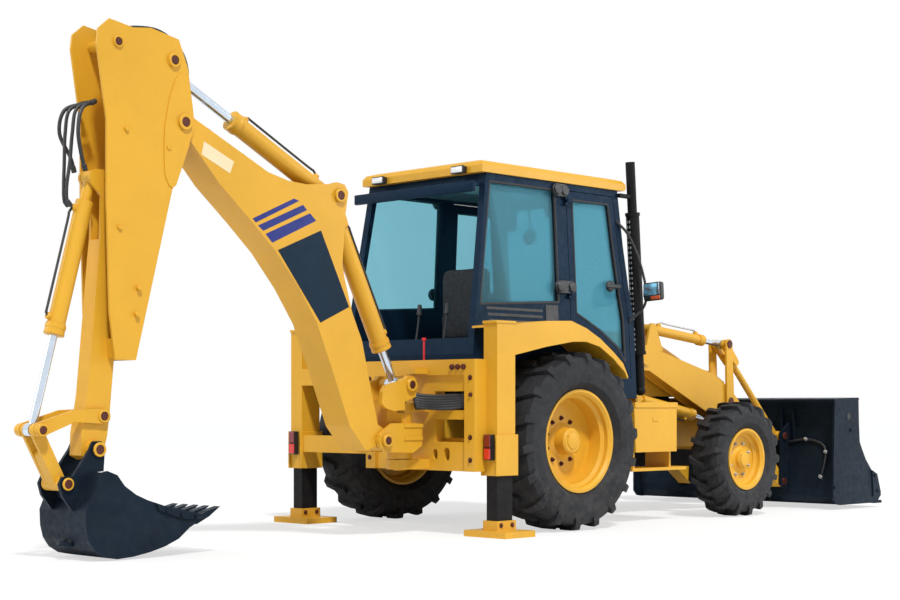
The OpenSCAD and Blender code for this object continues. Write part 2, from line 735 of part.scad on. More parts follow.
module swing_post() {
    color(yellow) on_hoe() difference() {
        union() {
            translate([swing_x, 0, 462]) cylinder(r = 40, h = 486, $fn = 48);
            translate([swing_x, 0, 546]) cylinder(r = 88, h = 328, $fn = 48);
            plate_pair(cheek_out, cheek_t) {
                polygon([[-1560, 660], [-1500, 600], [-1240, 590], [-1150, 640], [-1150, 770], [-1215,
                    800],
                    [-1430, 800], [-1560, 720]]);
                polygon([[-1540, 935], [-1535, 1020], [-1500, 1062], [-1440, 1080], [-1320, 1105],
                    [-1290, 1132],
                    [-1225, 1125], [-1195, 1070], [-1215, 985], [-1320, 950], [-1320, 895], [-1420, 885],
                    [-1500, 905]]);
                translate(boom_foot) circle(r = 66, $fn = 48);
                translate(boom_cyl_base) circle(r = 62, $fn = 48);
            }
            plate(0, 2 * cheek_in + 2) polygon([[-1330, 620], [-1215, 620], [-1215, 780], [-1330, 780]]);
            plate(0, 2 * cheek_in + 2) polygon([[-1420, 890], [-1330, 895], [-1330, 960], [-1420, 960]]);
            // The neck that carries the upper cheeks
            plate(0, 180) polygon([[-1420, 740], [-1260, 740], [-1260, 874], [-1320, 874], [-1320,
                960], [-1420, 960]]);
            // Two flanges round the lower part
            for (z = [680, 770]) translate([-1330, -cheek_out - 8, z]) cube([180, 2 * cheek_out + 16,
                26]);
            boss_pair(boom_cyl_base, 44, 62, cheek_out + 12);
        }
        cross_bar(boom_foot, pin_r + pin_gap, 2 * cheek_out + 2);
    }
}

boom_points = [[-1570, 640], [-1650, 610], [-1800, 780], [-1950, 1140], [-2100, 1480], [-2260, 1710],
    [-2460, 1940], [-2660, 2120], [-2920, 2340], [-3160, 2600], [-3262, 2642], [-3285, 2690], [-3262,
        2742],
    [-3210, 2765], [-3150, 2745], [-2840, 2600], [-2520, 2450], [-2350, 2410], [-2190, 2400], [-1990,
        2420],
    [-1920, 2440], [-1850, 2430], [-1815, 2380], [-1840, 2240], [-1870, 1890], [-1850, 1790], [-1780,
        1560],
    [-1690, 1370], [-1630, 1130], [-1540, 790], [-1440, 740], [-1428, 680], [-1450, 625], [-1500, 608]];

module boom() {
    h = hump_pin;
    color(yellow) on_hoe() {
        difference() {
            plate(0, boom_w) polygon(boom_points);
            // The fork for both cylinders at the hump pin
            plate(0, 190) polygon([h + [-420, -50], h + [-100, -110], h + [-75, -560], h + [300, -560],
                h + [300, 200], h + [-420, 200]]);
            cross_bar(dipper_pin, pin_r + pin_gap, boom_w + 2);
        }
        cross_bar(boom_foot, pin_r, 2 * cheek_out + 12);
        for (s = [-1, 1]) cross_bar(boom_foot, 44, 10, s * (cheek_out + 11));
        cross_bar(h, pin_r, boom_w + 20);
    }
}

fork_in = 50;

module boom_barrel() {
    a = hump_pin;
    b = boom_cyl_base;
    color(yellow) on_hoe() difference() {
        union() {
            tube_between(a, b, 120, 1150, boom_cyl_r);
            tube_between(a, b, 1080, 1150, boom_cyl_r + 6);
            plate_pair(fork_in + 24, 24) bar2d(a, 52, a + 190 * unit(b - a), 40);
        }
        cross_bar(a, pin_r + pin_gap, 200);
        tube_between(a, b, 170, 1151, rod_r + pin_gap);
        plate(0, 2 * fork_in) translate(a) circle(r = 110, $fn = 48);
    }
}

module boom_rod() { color(steel) on_hoe() rod(hump_pin, boom_cyl_base, 1150, rod_r, 48, 110); }

// Dipper
dipper_in = boom_w / 2 + side_gap;
dipper_out = dipper_in + plate_t;
dipper_points = [[-3850, 3090], [-3840, 3180], [-3760, 3250], [-3590, 3222], [-3460, 3240], [-3250, 3200],
    [-3180, 3030], [-3140, 2770], [-3130, 2690], [-3145, 2620], [-3190, 2520], [-3300, 2260], [-3570,
        1200],
    [-3720, 1200], [-3760, 1490], [-3780, 2160], [-3780, 2640]];
doubler_points = [[-3236, 2993], [-3183, 2982], [-3160, 2850], [-3152, 2697], [-3175, 2546], [-3275,
    2290],
    [-3300, 2272], [-3330, 2290], [-3358, 2353], [-3364, 2500], [-3358, 2649], [-3320, 2839], [-3275,
        2951]];

module dipper() {
    color(yellow) on_hoe() {
        difference() {
            union() {
                plate_pair(dipper_out, plate_t) polygon(dipper_points);
                plate_pair(dipper_out + 6, 7) polygon(doubler_points);
                // Front wall and the guide blocks for the telescopic arm
                plate(0, 2 * dipper_in + 2)
                    polygon([[-3300, 2260], [-3570, 1200], [-3586, 1200], [-3318, 2262]]);
                for (s = [-1, 1]) plate(s * (dipper_in + arm_w / 2 + slide_gap) / 2,
                    dipper_in - arm_w / 2 - slide_gap)
                    polygon([[-3572, 1210], [-3715, 1210], [-3728, 1330], [-3545, 1330]]);
                cross_bar(dipper_top_pin, 50, 2 * dipper_out + 10);
                cross_bar([-3700, 3120], 34, 2 * dipper_out);
            }
            plate(0, 2 * side_gap + 90) translate(dipper_top_pin) circle(r = 90, $fn = 48);
            plate(0, 2 * dipper_in) translate(dipper_pin) circle(r = 60, $fn = 48);
        }
        cross_bar(dipper_pin, pin_r, 2 * dipper_out + 20);
    }
}

module dipper_barrel() {
    color(yellow) on_hoe() barrel(hump_pin, dipper_top_pin, 935, boom_cyl_r - 2, rod_r, 50, 90, pin_r);
}

module dipper_rod() { color(steel) on_hoe() rod(hump_pin, dipper_top_pin, 960, rod_r, 46, 86); }

// The telescopic arm slides along this direction
slide_dir = unit([-90, -940]);

module dipper_arm() {
    p = bucket_cyl_base;
    color(yellow) on_hoe() difference() {
        union() {
            plate(0, arm_w) polygon([[-3770, 1930], [-3860, 990], [-3900, 760], [-3905, 625], [-3860,
                598], [-3780, 598],
                [-3745, 650], [-3720, 740], [-3700, 900], [-3692, 990], [-3562, 2350], [-3640, 2350],
                    [-3680, 1930]]);
            plate_pair(arm_w / 2, 20) polygon([p + [-46, 10], p + [-34, 36], p + [0, 50], p + [30, 50],
                [-3640, 2350],
                [-3680, 1800], [-3772, 1800], [-3762, 2190], p + [-30, -40], p + [-46, -10]]);
            // Wear pads at the top of the slide
            for (s = [-1, 1]) plate(s * (dipper_in - slide_gap + arm_w / 2) / 2,
                dipper_in - slide_gap - arm_w / 2)
                polygon([[-3564, 2330], [-3576, 2230], [-3650, 2230], [-3642, 2330]]);
            cross_bar(bucket_pin, 58, 184);
            cross_bar(lever_pin, 44, arm_w);
        }
        for (q = [lever_pin, bucket_pin]) cross_bar(q, pin_r + pin_gap, 400);
    }
    color(yellow) on_hoe() cross_bar(p, pin_r - 6, arm_w);
}

bucket_gland = 990;

module bucket_barrel() {
    color(yellow) on_hoe() {
        barrel(bucket_cyl_base, lever_end, bucket_gland, bucket_cyl_r, rod_r - 6, 44, 74, pin_r - 6, 150);
    }
}

module bucket_rod() { color(steel) on_hoe() rod(bucket_cyl_base, lever_end, 1020, rod_r - 6, 42, 60); }

lever_in = arm_w / 2 + 5;
lever_out = lever_in + 22;
lever_knee = [-3965, 862];
ear_in = 98;
ear_out = 122;

module bucket_lever() {
    color(yellow) on_hoe() {
        plate_pair(lever_out, 22) {
            bar2d(lever_pin, 46, lever_knee, 35);
            bar2d(lever_knee, 35, lever_end, 44);
        }
        cross_bar(lever_pin, pin_r, 2 * lever_out);
        boss_pair(lever_end, pin_r - 4, 36, lever_out);
        boss_pair(lever_end, 40, lever_out - 1, 122);
    }
}

link_in = 36;
link_out = 60;

module bucket_link() {
    d = link_pin - lever_end;
    color(yellow) on_hoe() difference() {
        union() {
            plate_pair(link_out, link_out - link_in) bar2d(lever_end, 40, link_pin, 38);
            cross_bar(link_pin, 43, 184);
            plate(0, 2 * link_out - 4) bar2d(lever_end + 0.46 * d, 36, link_pin, 37);
        }
        cross_bar(lever_end, pin_r - 4 + pin_gap, 200);
    }
}

// The bucket's side from the lip round the heel to the top, and back along the mouth
bucket_back = [[-3107, 238], [-3242, 171], [-3325, 106], [-3430, 64], [-3540, 36], [-3660, 16], [-3774,
    8],
    [-3865, 26], [-3931, 66], [-3972, 124], [-3992, 200], [-3996, 297], [-3975, 345], [-3945, 395],
        [-3900, 500]];
bucket_mouth = [[-3879, 528], [-3844, 536], [-3774, 510], [-3721, 443], [-3640, 388], [-3559, 353],
    [-3430, 312],
    [-3287, 281]];
bucket_space = concat([[-2839, 371]], bucket_back, [[-3870, 640], [-2839, 640]]);
teeth = 5;
tooth_step = (bucket_w - 60) / (teeth - 1);

module hoe_bucket() {
    color(black) on_hoe() {
        difference() {
            plate(0, bucket_w) polygon(concat(bucket_back, bucket_mouth));
            plate(0, bucket_w - 2 * plate_t) offset(delta = -plate_t) polygon(bucket_space);
        }
        plate_pair(ear_out, ear_out - ear_in)
            polygon([bucket_pin + [-36, 50], bucket_pin + [20, 50], bucket_pin + [44, 0], [-3785, 530],
                [-3850, 523],
                [-3887, 503], [-3936, 394], [-3968, 340], [-3988, 296], [-4010, 310], [-4072, 390],
                link_pin + [-52, 0], link_pin + [-30, 44], link_pin + [40, 44], bucket_pin + [-62, 0]]);
        cross_bar(bucket_pin, pin_r, 2 * ear_out + 16);
        boss_pair(link_pin, 40, ear_out - 1, ear_out + 10);
        for (k = [0:teeth - 1]) plate(k * tooth_step - (bucket_w - 60) / 2, 60)
            polygon([[-3190, 188], [-3194, 224], [-3110, 268], [-3008, 292], [-3095, 232]]);
    }
}

// Loader
plate_in = 391;
plate_out = 424;
arm_in = arm_y - loader_arm_w / 2;
cap_y = arm_y + loader_arm_w / 2 + side_gap;

module loader_tower() {
    half = chassis_w / 2;
    color(yellow) at_origin() for (s = [-1, 1]) {
        plate(s * (plate_in + plate_out) / 2, plate_out - plate_in)
            polygon([[1330, 620], [1560, 620], [1560, 1040], [1520, 1330], [1470, 1380], [1420, 1380],
                [1380, 1330],
                [1330, 1040]]);
        plate(s * (half + plate_in + 1) / 2, plate_in - half + 1)
            polygon([[1330, 640], [1560, 640], [1560, 830], [1330, 830]]);
        translate([0, s * plate_out, 0]) rotate([0, 0, s > 0 ? 0 : 180]) {
            tower_pin(arm_pin, cap_y - plate_out, s);
            tower_pin(lift_base, arm_y + 36 - plate_out, s);
        }
        plate(s * (plate_out + arm_y - 36) / 2,
            arm_y - 36 - plate_out) translate(lift_base) circle(r = 40, $fn = 48);
    }
}

// A cantilever pin of length len with a cap on its outer end
module tower_pin(p, len, s) {
    translate([s * p[0], 0, p[1]]) rotate([-90, 0, 0]) {
        translate([0, 0, -2]) cylinder(r = pin_r, h = len + 4, $fn = 48);
        translate([0, 0, len]) cylinder(r = pin_r + 16, h = 12, $fn = 48);
    }
}

loader_arm_points = [[1470, 1420], [1400, 1385], [1345, 1320], [1340, 1250], [1400, 1215], [1510, 1210],
    [2310, 870], [2400, 760], [2470, 735], [2560, 745], [2660, 720], [3400, 207], [3440, 240], [3468,
        284],
    [2758, 982], [2670, 1050], [2530, 1132], [2380, 1200]];
foot_r = 52;

module loader_arm() {
    b = tilt_base;
    color(yellow) {
        on_arms() {
            difference() {
                union() {
                    plate(0, loader_arm_w) {
                        polygon(loader_arm_points);
                        translate(loader_pin) circle(r = foot_r, $fn = 48);
                    }
                    plate_pair(66, 20) polygon([[1480, 1400], b + [-45, 10], b + [-25, 42], b + [25, 42],
                        [1700, 1380], [1620, 1360]]);
                }
                // The lift cylinder lies in this slot when the arms are up
                plate(0, 2 * (lift_cyl_r + 12)) polygon([[1330, 1000], [1330, 1268], [1560, 1202],
                    [1700, 1154], [1860, 1108], [1950, 1080], [1985, 1046], [2200, 974],
                    [2400, 908], [2590, 886], [2590, 600], [2000, 600]]);
                for (q = [arm_pin, rocker_pin, loader_pin]) cross_bar(q, pin_r + pin_gap, 400);
            }
            boss_pair(lift_end, 36, loader_arm_w / 2 - 1, loader_arm_w / 2 + 2);
            cross_bar(b, pin_r - 6, 132);
        }
        at_origin() cross_bar([3060, 555], 60, 2 * arm_y);
    }
}

module lift_barrels() { color(yellow) on_arms() barrel(lift_base, lift_end, 800, lift_cyl_r,
    loader_rod_r, 46, 60, pin_r); }
module lift_rods() { color(steel) on_arms() rod(lift_base, lift_end, 960, loader_rod_r, 40, 60); }
module tilt_barrels() {
    color(yellow) on_arms() barrel(tilt_base, rocker_top, 765, tilt_cyl_r, loader_rod_r, 38, 80,
        pin_r - 6);
}
module tilt_rods() { color(steel) on_arms() rod(tilt_base, rocker_top, 735, loader_rod_r, 38, 40); }

rocker_in = loader_arm_w / 2 + side_gap;
rocker_out = rocker_in + 20;

module loader_levers() {
    color(yellow) on_arms() {
        plate_pair(rocker_out, 20) bar2d(rocker_pin, 52, rocker_top, 44);
        cross_bar(rocker_pin, pin_r, 2 * rocker_out);
        boss_pair(rocker_top, pin_r - 4, 30, rocker_out);
    }
}

module loader_links() {
    u = unit(push_pin - rocker_top);
    color(yellow) on_arms() difference() {
        union() {
            plate_pair(62, 32) bar2d(rocker_top, 40, rocker_top + 220 * u, 30);
            plate(0, 122) bar2d(rocker_top + 150 * u, 29, rocker_top + 210 * u, 29);
            tube_between(rocker_top, push_pin, 180, norm(push_pin - rocker_top) - 20, 28);
            cross_bar(push_pin, 42, 120);
        }
        cross_bar(rocker_top, pin_r - 4 + pin_gap, 200);
    }
}

// The back of the loader bucket from the floor up to the top lip
loader_back = [[3600, 42], [3545, 60], [3510, 110], [3500, 170], [3500, 420], [3530, 640], [3545, 800],
    [3530, 900],
    [3446, 962], [3446, 981]];
loader_shell = concat([[4230, 42]], loader_back, [[3840, 995], [4232, 60]]);
loader_space = concat([[4600, 42]], loader_back, [[4600, 1022]]);
side_points = [[3424, 100], [3470, 52], [3540, 42], [4150, 42], [4226, 112], [4061, 339], [3960, 440],
    [3880, 560],
    [3858, 600], [3846, 760], [3838, 995], [3446, 981], [3436, 700], [3424, 400]];

module loader_bucket() {
    t = bucket_t;
    color(black) at_origin() {
        // Floor, heel, back and top lip in one strip
        plate(0, loader_w) difference() {
            polygon(loader_shell);
            offset(delta = -t) polygon(loader_space);
        }
        plate_pair(loader_w / 2, t) polygon(side_points);
        for (s = [-1, 1]) translate([0, s * arm_y, 0]) {
            plate_pair(rocker_out, 20) polygon([[3510, 150], [3440, 180], [3385, 215], [3385, 270],
                [3400, 460],
                [3385, 640], [3395, 690], [3440, 705], [3553, 800], [3540, 640], [3510, 420]]);
            cross_bar(loader_pin, pin_r, 2 * rocker_out);
            boss_pair(push_pin, 38, 66, rocker_out + 8);
        }
    }
}

chassis_frame();
engine_block();
nose();
hood();
rear_axle();
front_axle();
knuckle(1);  // knuckle_left
knuckle(-1);  // knuckle_right
rear_tyre(1);  // rear_left_tyre
rear_rim(1);  // rear_left_rim
rear_tyre(-1);  // rear_right_tyre
rear_rim(-1);  // rear_right_rim
front_tyre(1);  // front_left_tyre
front_rim(1);  // front_left_rim
front_tyre(-1);  // front_right_tyre
front_rim(-1);  // front_right_rim
cab_shell();
cab_roof();
cab_glass();
door(1);  // door_left
door(-1);  // door_right
door_glass(1);  // door_glass_left
door_glass(-1);  // door_glass_right
seat();
console();
fenders();
side_tanks();
exhaust();
lamps();
mirrors();
rear_frame();
tail_lamps();
stabilizer(1);  // stabilizer_left
stabilizer(-1);  // stabilizer_right
stabilizer_leg(1);  // stabilizer_leg_left
stabilizer_leg(-1);  // stabilizer_leg_right
carriage();
swing_post();
boom();
boom_barrel();
boom_rod();
dipper();
dipper_barrel();
dipper_rod();
dipper_arm();
bucket_barrel();
bucket_rod();
bucket_lever();
bucket_link();
hoe_bucket();
loader_tower();
loader_arm();
lift_barrels();
lift_rods();
tilt_barrels();
tilt_rods();
loader_levers();
loader_links();
loader_bucket();
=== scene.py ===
"""Looks of the backhoe loader: materials, trim, lamps, hoses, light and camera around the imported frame."""
import math

import bmesh
import bpy
from mathutils import Matrix, Vector


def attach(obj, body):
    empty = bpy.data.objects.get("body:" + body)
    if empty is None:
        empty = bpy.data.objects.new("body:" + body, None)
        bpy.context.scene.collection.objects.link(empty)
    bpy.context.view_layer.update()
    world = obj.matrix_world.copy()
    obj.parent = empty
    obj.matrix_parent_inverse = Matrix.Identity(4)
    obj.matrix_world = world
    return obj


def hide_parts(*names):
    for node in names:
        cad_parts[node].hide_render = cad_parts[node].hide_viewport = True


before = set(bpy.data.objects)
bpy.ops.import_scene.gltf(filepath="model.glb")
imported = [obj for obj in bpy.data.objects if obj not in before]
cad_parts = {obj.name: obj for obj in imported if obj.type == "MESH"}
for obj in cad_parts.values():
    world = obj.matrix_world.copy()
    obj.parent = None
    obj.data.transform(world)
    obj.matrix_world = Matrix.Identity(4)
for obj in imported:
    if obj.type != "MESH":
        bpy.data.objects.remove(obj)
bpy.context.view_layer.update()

# Places are written in millimetres from the rear axle, as in the source, and moved by ORIGIN_X
ORIGIN_X = 8.5
HOE_Y = -450.0
ARM_Y = 500.0
# The cab side: half width where its lean starts, the height of that line, the lean in degrees
CAB_HALF, LEAN_Z, CAB_LEAN = 700, 1322, 3
TO_ROW = Matrix.Translation((ORIGIN_X / 1000, 0, 0)) @ Matrix.Scale(0.001, 4)


# ---------------------------------------------------------------- materials
def new_material(name):
    m = bpy.data.materials.new(name)
    m.use_nodes = True
    nt = m.node_tree
    return m, nt, nt.nodes["Principled BSDF"]


def noise(nt, scale, detail=4.0, rough=0.55, stretch=None):
    tex = nt.nodes.new("ShaderNodeTexNoise")
    tex.inputs["Scale"].default_value = scale
    tex.inputs["Detail"].default_value = detail
    tex.inputs["Roughness"].default_value = rough
    co = nt.nodes.new("ShaderNodeTexCoord")
    if stretch:
        mp = nt.nodes.new("ShaderNodeMapping")
        mp.inputs["Scale"].default_value = stretch
        nt.links.new(co.outputs["Object"], mp.inputs["Vector"])
        nt.links.new(mp.outputs["Vector"], tex.inputs["Vector"])
    else:
        nt.links.new(co.outputs["Object"], tex.inputs["Vector"])
    return tex


def map_range(nt, value, a, b, lo, hi):
    n = nt.nodes.new("ShaderNodeMapRange")
    n.inputs["From Min"].default_value = a
    n.inputs["From Max"].default_value = b
    n.inputs["To Min"].default_value = lo
    n.inputs["To Max"].default_value = hi
    nt.links.new(value, n.inputs["Value"])
    return n.outputs["Result"]


def mix_color(nt, fac, c1, c2):
    n = nt.nodes.new("ShaderNodeMix")
    n.data_type = "RGBA"
    nt.links.new(fac, n.inputs[0])
    for sock, c in ((n.inputs[6], c1), (n.inputs[7], c2)):
        if hasattr(c, "links") or isinstance(c, bpy.types.NodeSocket):
            nt.links.new(c, sock)
        else:
            sock.default_value = (*c, 1.0)
    return n.outputs[2]


def add_bump(nt, bsdf, value, strength, distance):
    b = nt.nodes.new("ShaderNodeBump")
    b.inputs["Strength"].default_value = strength
    b.inputs["Distance"].default_value = distance
    nt.links.new(value, b.inputs["Height"])
    nt.links.new(b.outputs["Normal"], bsdf.inputs["Normal"])


def surface(name, color, rough, metal=0.0, vary=0.12, scale=2.0, grain=0.0, grain_scale=900.0,
            dust=0.0, dust_color=(0.42, 0.33, 0.22), coat=0.0, rough_vary=0.1, shine=0.5, sheen=(1, 1, 1)):
    """A paint, plastic, rubber or steel with colour drift, dust low down and a fine grain."""
    m, nt, p = new_material(name)
    big = noise(nt, scale, 5.0, 0.6)
    dark = tuple(c * (1 - vary) for c in color)
    light = tuple(min(1.0, c * (1 + vary * 0.7)) for c in color)
    col = mix_color(nt, map_range(nt, big.outputs["Fac"], 0.35, 0.65, 0, 1), dark, light)
    if dust:
        co = nt.nodes.new("ShaderNodeTexCoord")
        sep = nt.nodes.new("ShaderNodeSeparateXYZ")
        nt.links.new(co.outputs["Object"], sep.inputs[0])
        low = map_range(nt, sep.outputs["Z"], 0.0, 1.1, 1.0, 0.12)
        speck = noise(nt, 14.0, 8.0, 0.7)
        spot = map_range(nt, speck.outputs["Fac"], 0.42, 0.72, 0.0, dust)
        mul = nt.nodes.new("ShaderNodeMath")
        mul.operation = "MULTIPLY"
        nt.links.new(low, mul.inputs[0])
        nt.links.new(spot, mul.inputs[1])
        col = mix_color(nt, mul.outputs[0], col, dust_color)
    nt.links.new(col, p.inputs["Base Color"])
    fine = noise(nt, 23.0, 6.0, 0.6)
    nt.links.new(map_range(nt, fine.outputs["Fac"], 0.3, 0.7, max(0.02, rough - rough_vary),
                           rough + rough_vary), p.inputs["Roughness"])
    p.inputs["Metallic"].default_value = metal
    p.inputs["Specular IOR Level"].default_value = shine
    p.inputs["Specular Tint"].default_value = (*sheen, 1)
    p.inputs["Coat Weight"].default_value = coat
    p.inputs["Coat Roughness"].default_value = 0.12
    if grain:
        g = noise(nt, grain_scale, 2.0, 0.5)
        add_bump(nt, p, g.outputs["Fac"], grain, 0.0006)
    return m


YELLOW = surface("yellow_paint", (0.66, 0.345, 0.022), 0.44, vary=0.07, scale=1.3, grain=0.1,
                 grain_scale=260.0, dust=0.22, dust_color=(0.40, 0.24, 0.07), coat=0.08, shine=0.3)
NAVY = surface("dark_cab_paint", (0.004, 0.012, 0.028), 0.5, vary=0.18, scale=1.6, grain=0.1,
               grain_scale=300.0, dust=0.03, shine=0.2, sheen=(0.12, 0.42, 0.75))
BLACK_PAINT = surface("black_paint", (0.006, 0.006, 0.007), 0.55, vary=0.25, scale=3.0, grain=0.2,
                      grain_scale=240.0, dust=0.16, dust_color=(0.06, 0.05, 0.04), shine=0.14)
BUCKET = surface("bucket_steel", (0.007, 0.011, 0.018), 0.5, vary=0.35, scale=2.4, grain=0.3,
                 grain_scale=120.0, dust=0.1, dust_color=(0.07, 0.07, 0.07), rough_vary=0.14, shine=0.2,
                 sheen=(0.25, 0.5, 0.8))
RUBBER = surface("tyre_rubber", (0.014, 0.015, 0.018), 0.72, vary=0.3, scale=4.0, grain=0.5,
                 grain_scale=420.0, dust=0.4, dust_color=(0.09, 0.086, 0.08), rough_vary=0.12, shine=0.3)
CHROME = surface("chromed_rod", (0.62, 0.70, 0.80), 0.13, metal=0.9, vary=0.06, scale=6.0, rough_vary=0.05)
STEEL = surface("zinc_steel", (0.42, 0.43, 0.44), 0.4, metal=0.9, vary=0.18, scale=12.0, grain=0.15,
                rough_vary=0.12)
PIN_END = surface("pin_ends", (0.085, 0.018, 0.012), 0.5, metal=0.4, vary=0.35, scale=20.0, grain=0.25)
PLASTIC = surface("grey_plastic", (0.075, 0.08, 0.088), 0.55, vary=0.12, scale=5.0, grain=0.35,
                  grain_scale=700.0)
BLACK = surface("black_plastic", (0.012, 0.013, 0.015), 0.48, vary=0.2, scale=7.0, grain=0.3,
                grain_scale=800.0)
HOSE = surface("hose_rubber", (0.014, 0.015, 0.017), 0.5, vary=0.3, scale=30.0, grain=0.5,
               grain_scale=650.0)
FABRIC = surface("seat_fabric", (0.03, 0.034, 0.04), 0.85, vary=0.3, scale=40.0, grain=0.9,
                 grain_scale=520.0)
BLUE = surface("blue_stripe", (0.008, 0.018, 0.17), 0.4, vary=0.1, scale=4.0, shine=0.3)
DARK_FILM = surface("dark_film", (0.006, 0.012, 0.022), 0.4, vary=0.12, scale=4.0, shine=0.25,
                    sheen=(0.2, 0.5, 0.8))
PALE_FILM = surface("pale_film", (0.80, 0.62, 0.38), 0.4, vary=0.06, scale=5.0)
RED = surface("red_paint", (0.55, 0.01, 0.015), 0.4, vary=0.12, scale=9.0)


def lens(name, color, rough=0.12):
    m, nt, p = new_material(name)
    ribs = nt.nodes.new("ShaderNodeTexWave")
    ribs.inputs["Scale"].default_value = 30.0
    ribs.inputs["Distortion"].default_value = 0.4
    co = nt.nodes.new("ShaderNodeTexCoord")
    nt.links.new(co.outputs["Object"], ribs.inputs["Vector"])
    nt.links.new(mix_color(nt, ribs.outputs["Fac"], tuple(c * 0.7 for c in color), color),
                 p.inputs["Base Color"])
    p.inputs["Roughness"].default_value = rough
    p.inputs["Coat Weight"].default_value = 0.6
    add_bump(nt, p, ribs.outputs["Fac"], 0.3, 0.002)
    return m


RED_LENS = lens("red_lens", (0.72, 0.02, 0.012))
DARK_RED_LENS = lens("dark_red_lens", (0.22, 0.008, 0.012))
ORANGE_LENS = lens("orange_lens", (0.85, 0.12, 0.02))
CLEAR_LENS = lens("clear_lens", (0.86, 0.88, 0.9), 0.08)


def glass():
    """A tinted pane: mostly see-through, with a film of reflection."""
    m, nt, p = new_material("tinted_glass")
    out = nt.nodes["Material Output"]
    film = noise(nt, 1.2, 3.0, 0.5)
    tint = mix_color(nt, film.outputs["Fac"], (0.43, 0.69, 0.755), (0.48, 0.73, 0.795))
    clear = nt.nodes.new("ShaderNodeBsdfTransparent")
    nt.links.new(tint, clear.inputs["Color"])
    nt.links.new(tint, p.inputs["Base Color"])
    p.inputs["Roughness"].default_value = 0.04
    p.inputs["IOR"].default_value = 1.45
    fres = nt.nodes.new("ShaderNodeFresnel")
    fres.inputs["IOR"].default_value = 1.35
    share = map_range(nt, fres.outputs["Fac"], 0.0, 1.0, 0.02, 0.6)
    mixer = nt.nodes.new("ShaderNodeMixShader")
    nt.links.new(share, mixer.inputs[0])
    nt.links.new(clear.outputs[0], mixer.inputs[1])
    nt.links.new(p.outputs[0], mixer.inputs[2])
    nt.links.new(mixer.outputs[0], out.inputs["Surface"])
    return m


GLASS = glass()

# The finish of each CAD node, by the words its name contains; the first match counts
NODE_FINISH = [("stabilizer_leg", BLACK_PAINT), ("glass", GLASS), ("tyre", RUBBER), ("rim", YELLOW),
               ("hoe_bucket", BUCKET), ("loader_bucket", BUCKET),
               ("rod", CHROME), ("cab_shell", NAVY), ("door", NAVY), ("cab_roof", YELLOW), ("seat", FABRIC),
               ("console", PLASTIC), ("exhaust", BLACK_PAINT), ("mirrors", BLACK), ("tail_lamps", BLACK),
               ("lamps", BLACK), ("axle", BLACK_PAINT), ("engine", BLACK_PAINT)]
for node_name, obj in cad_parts.items():
    finish = next((m for word, m in NODE_FINISH if word in node_name), YELLOW)
    obj.data.materials.clear()
    obj.data.materials.append(finish)


# ---------------------------------------------------------------- shapes
def spline(points, steps=6):
    """Points along a smooth curve through the given points."""
    pts = [Vector(p) for p in points]
    if len(pts) < 3:
        return pts
    ext = [2 * pts[0] - pts[1]] + pts + [2 * pts[-1] - pts[-2]]
    out = []
    for i in range(1, len(ext) - 2):
        a, b, c, d = ext[i - 1:i + 3]
        for k in range(steps):
            t = k / steps
            out.append(0.5 * (2 * b + (c - a) * t + (2 * a - 5 * b + 4 * c - d) * t * t
                              + (3 * b - a - 3 * c + d) * t ** 3))
    out.append(pts[-1])
    return out


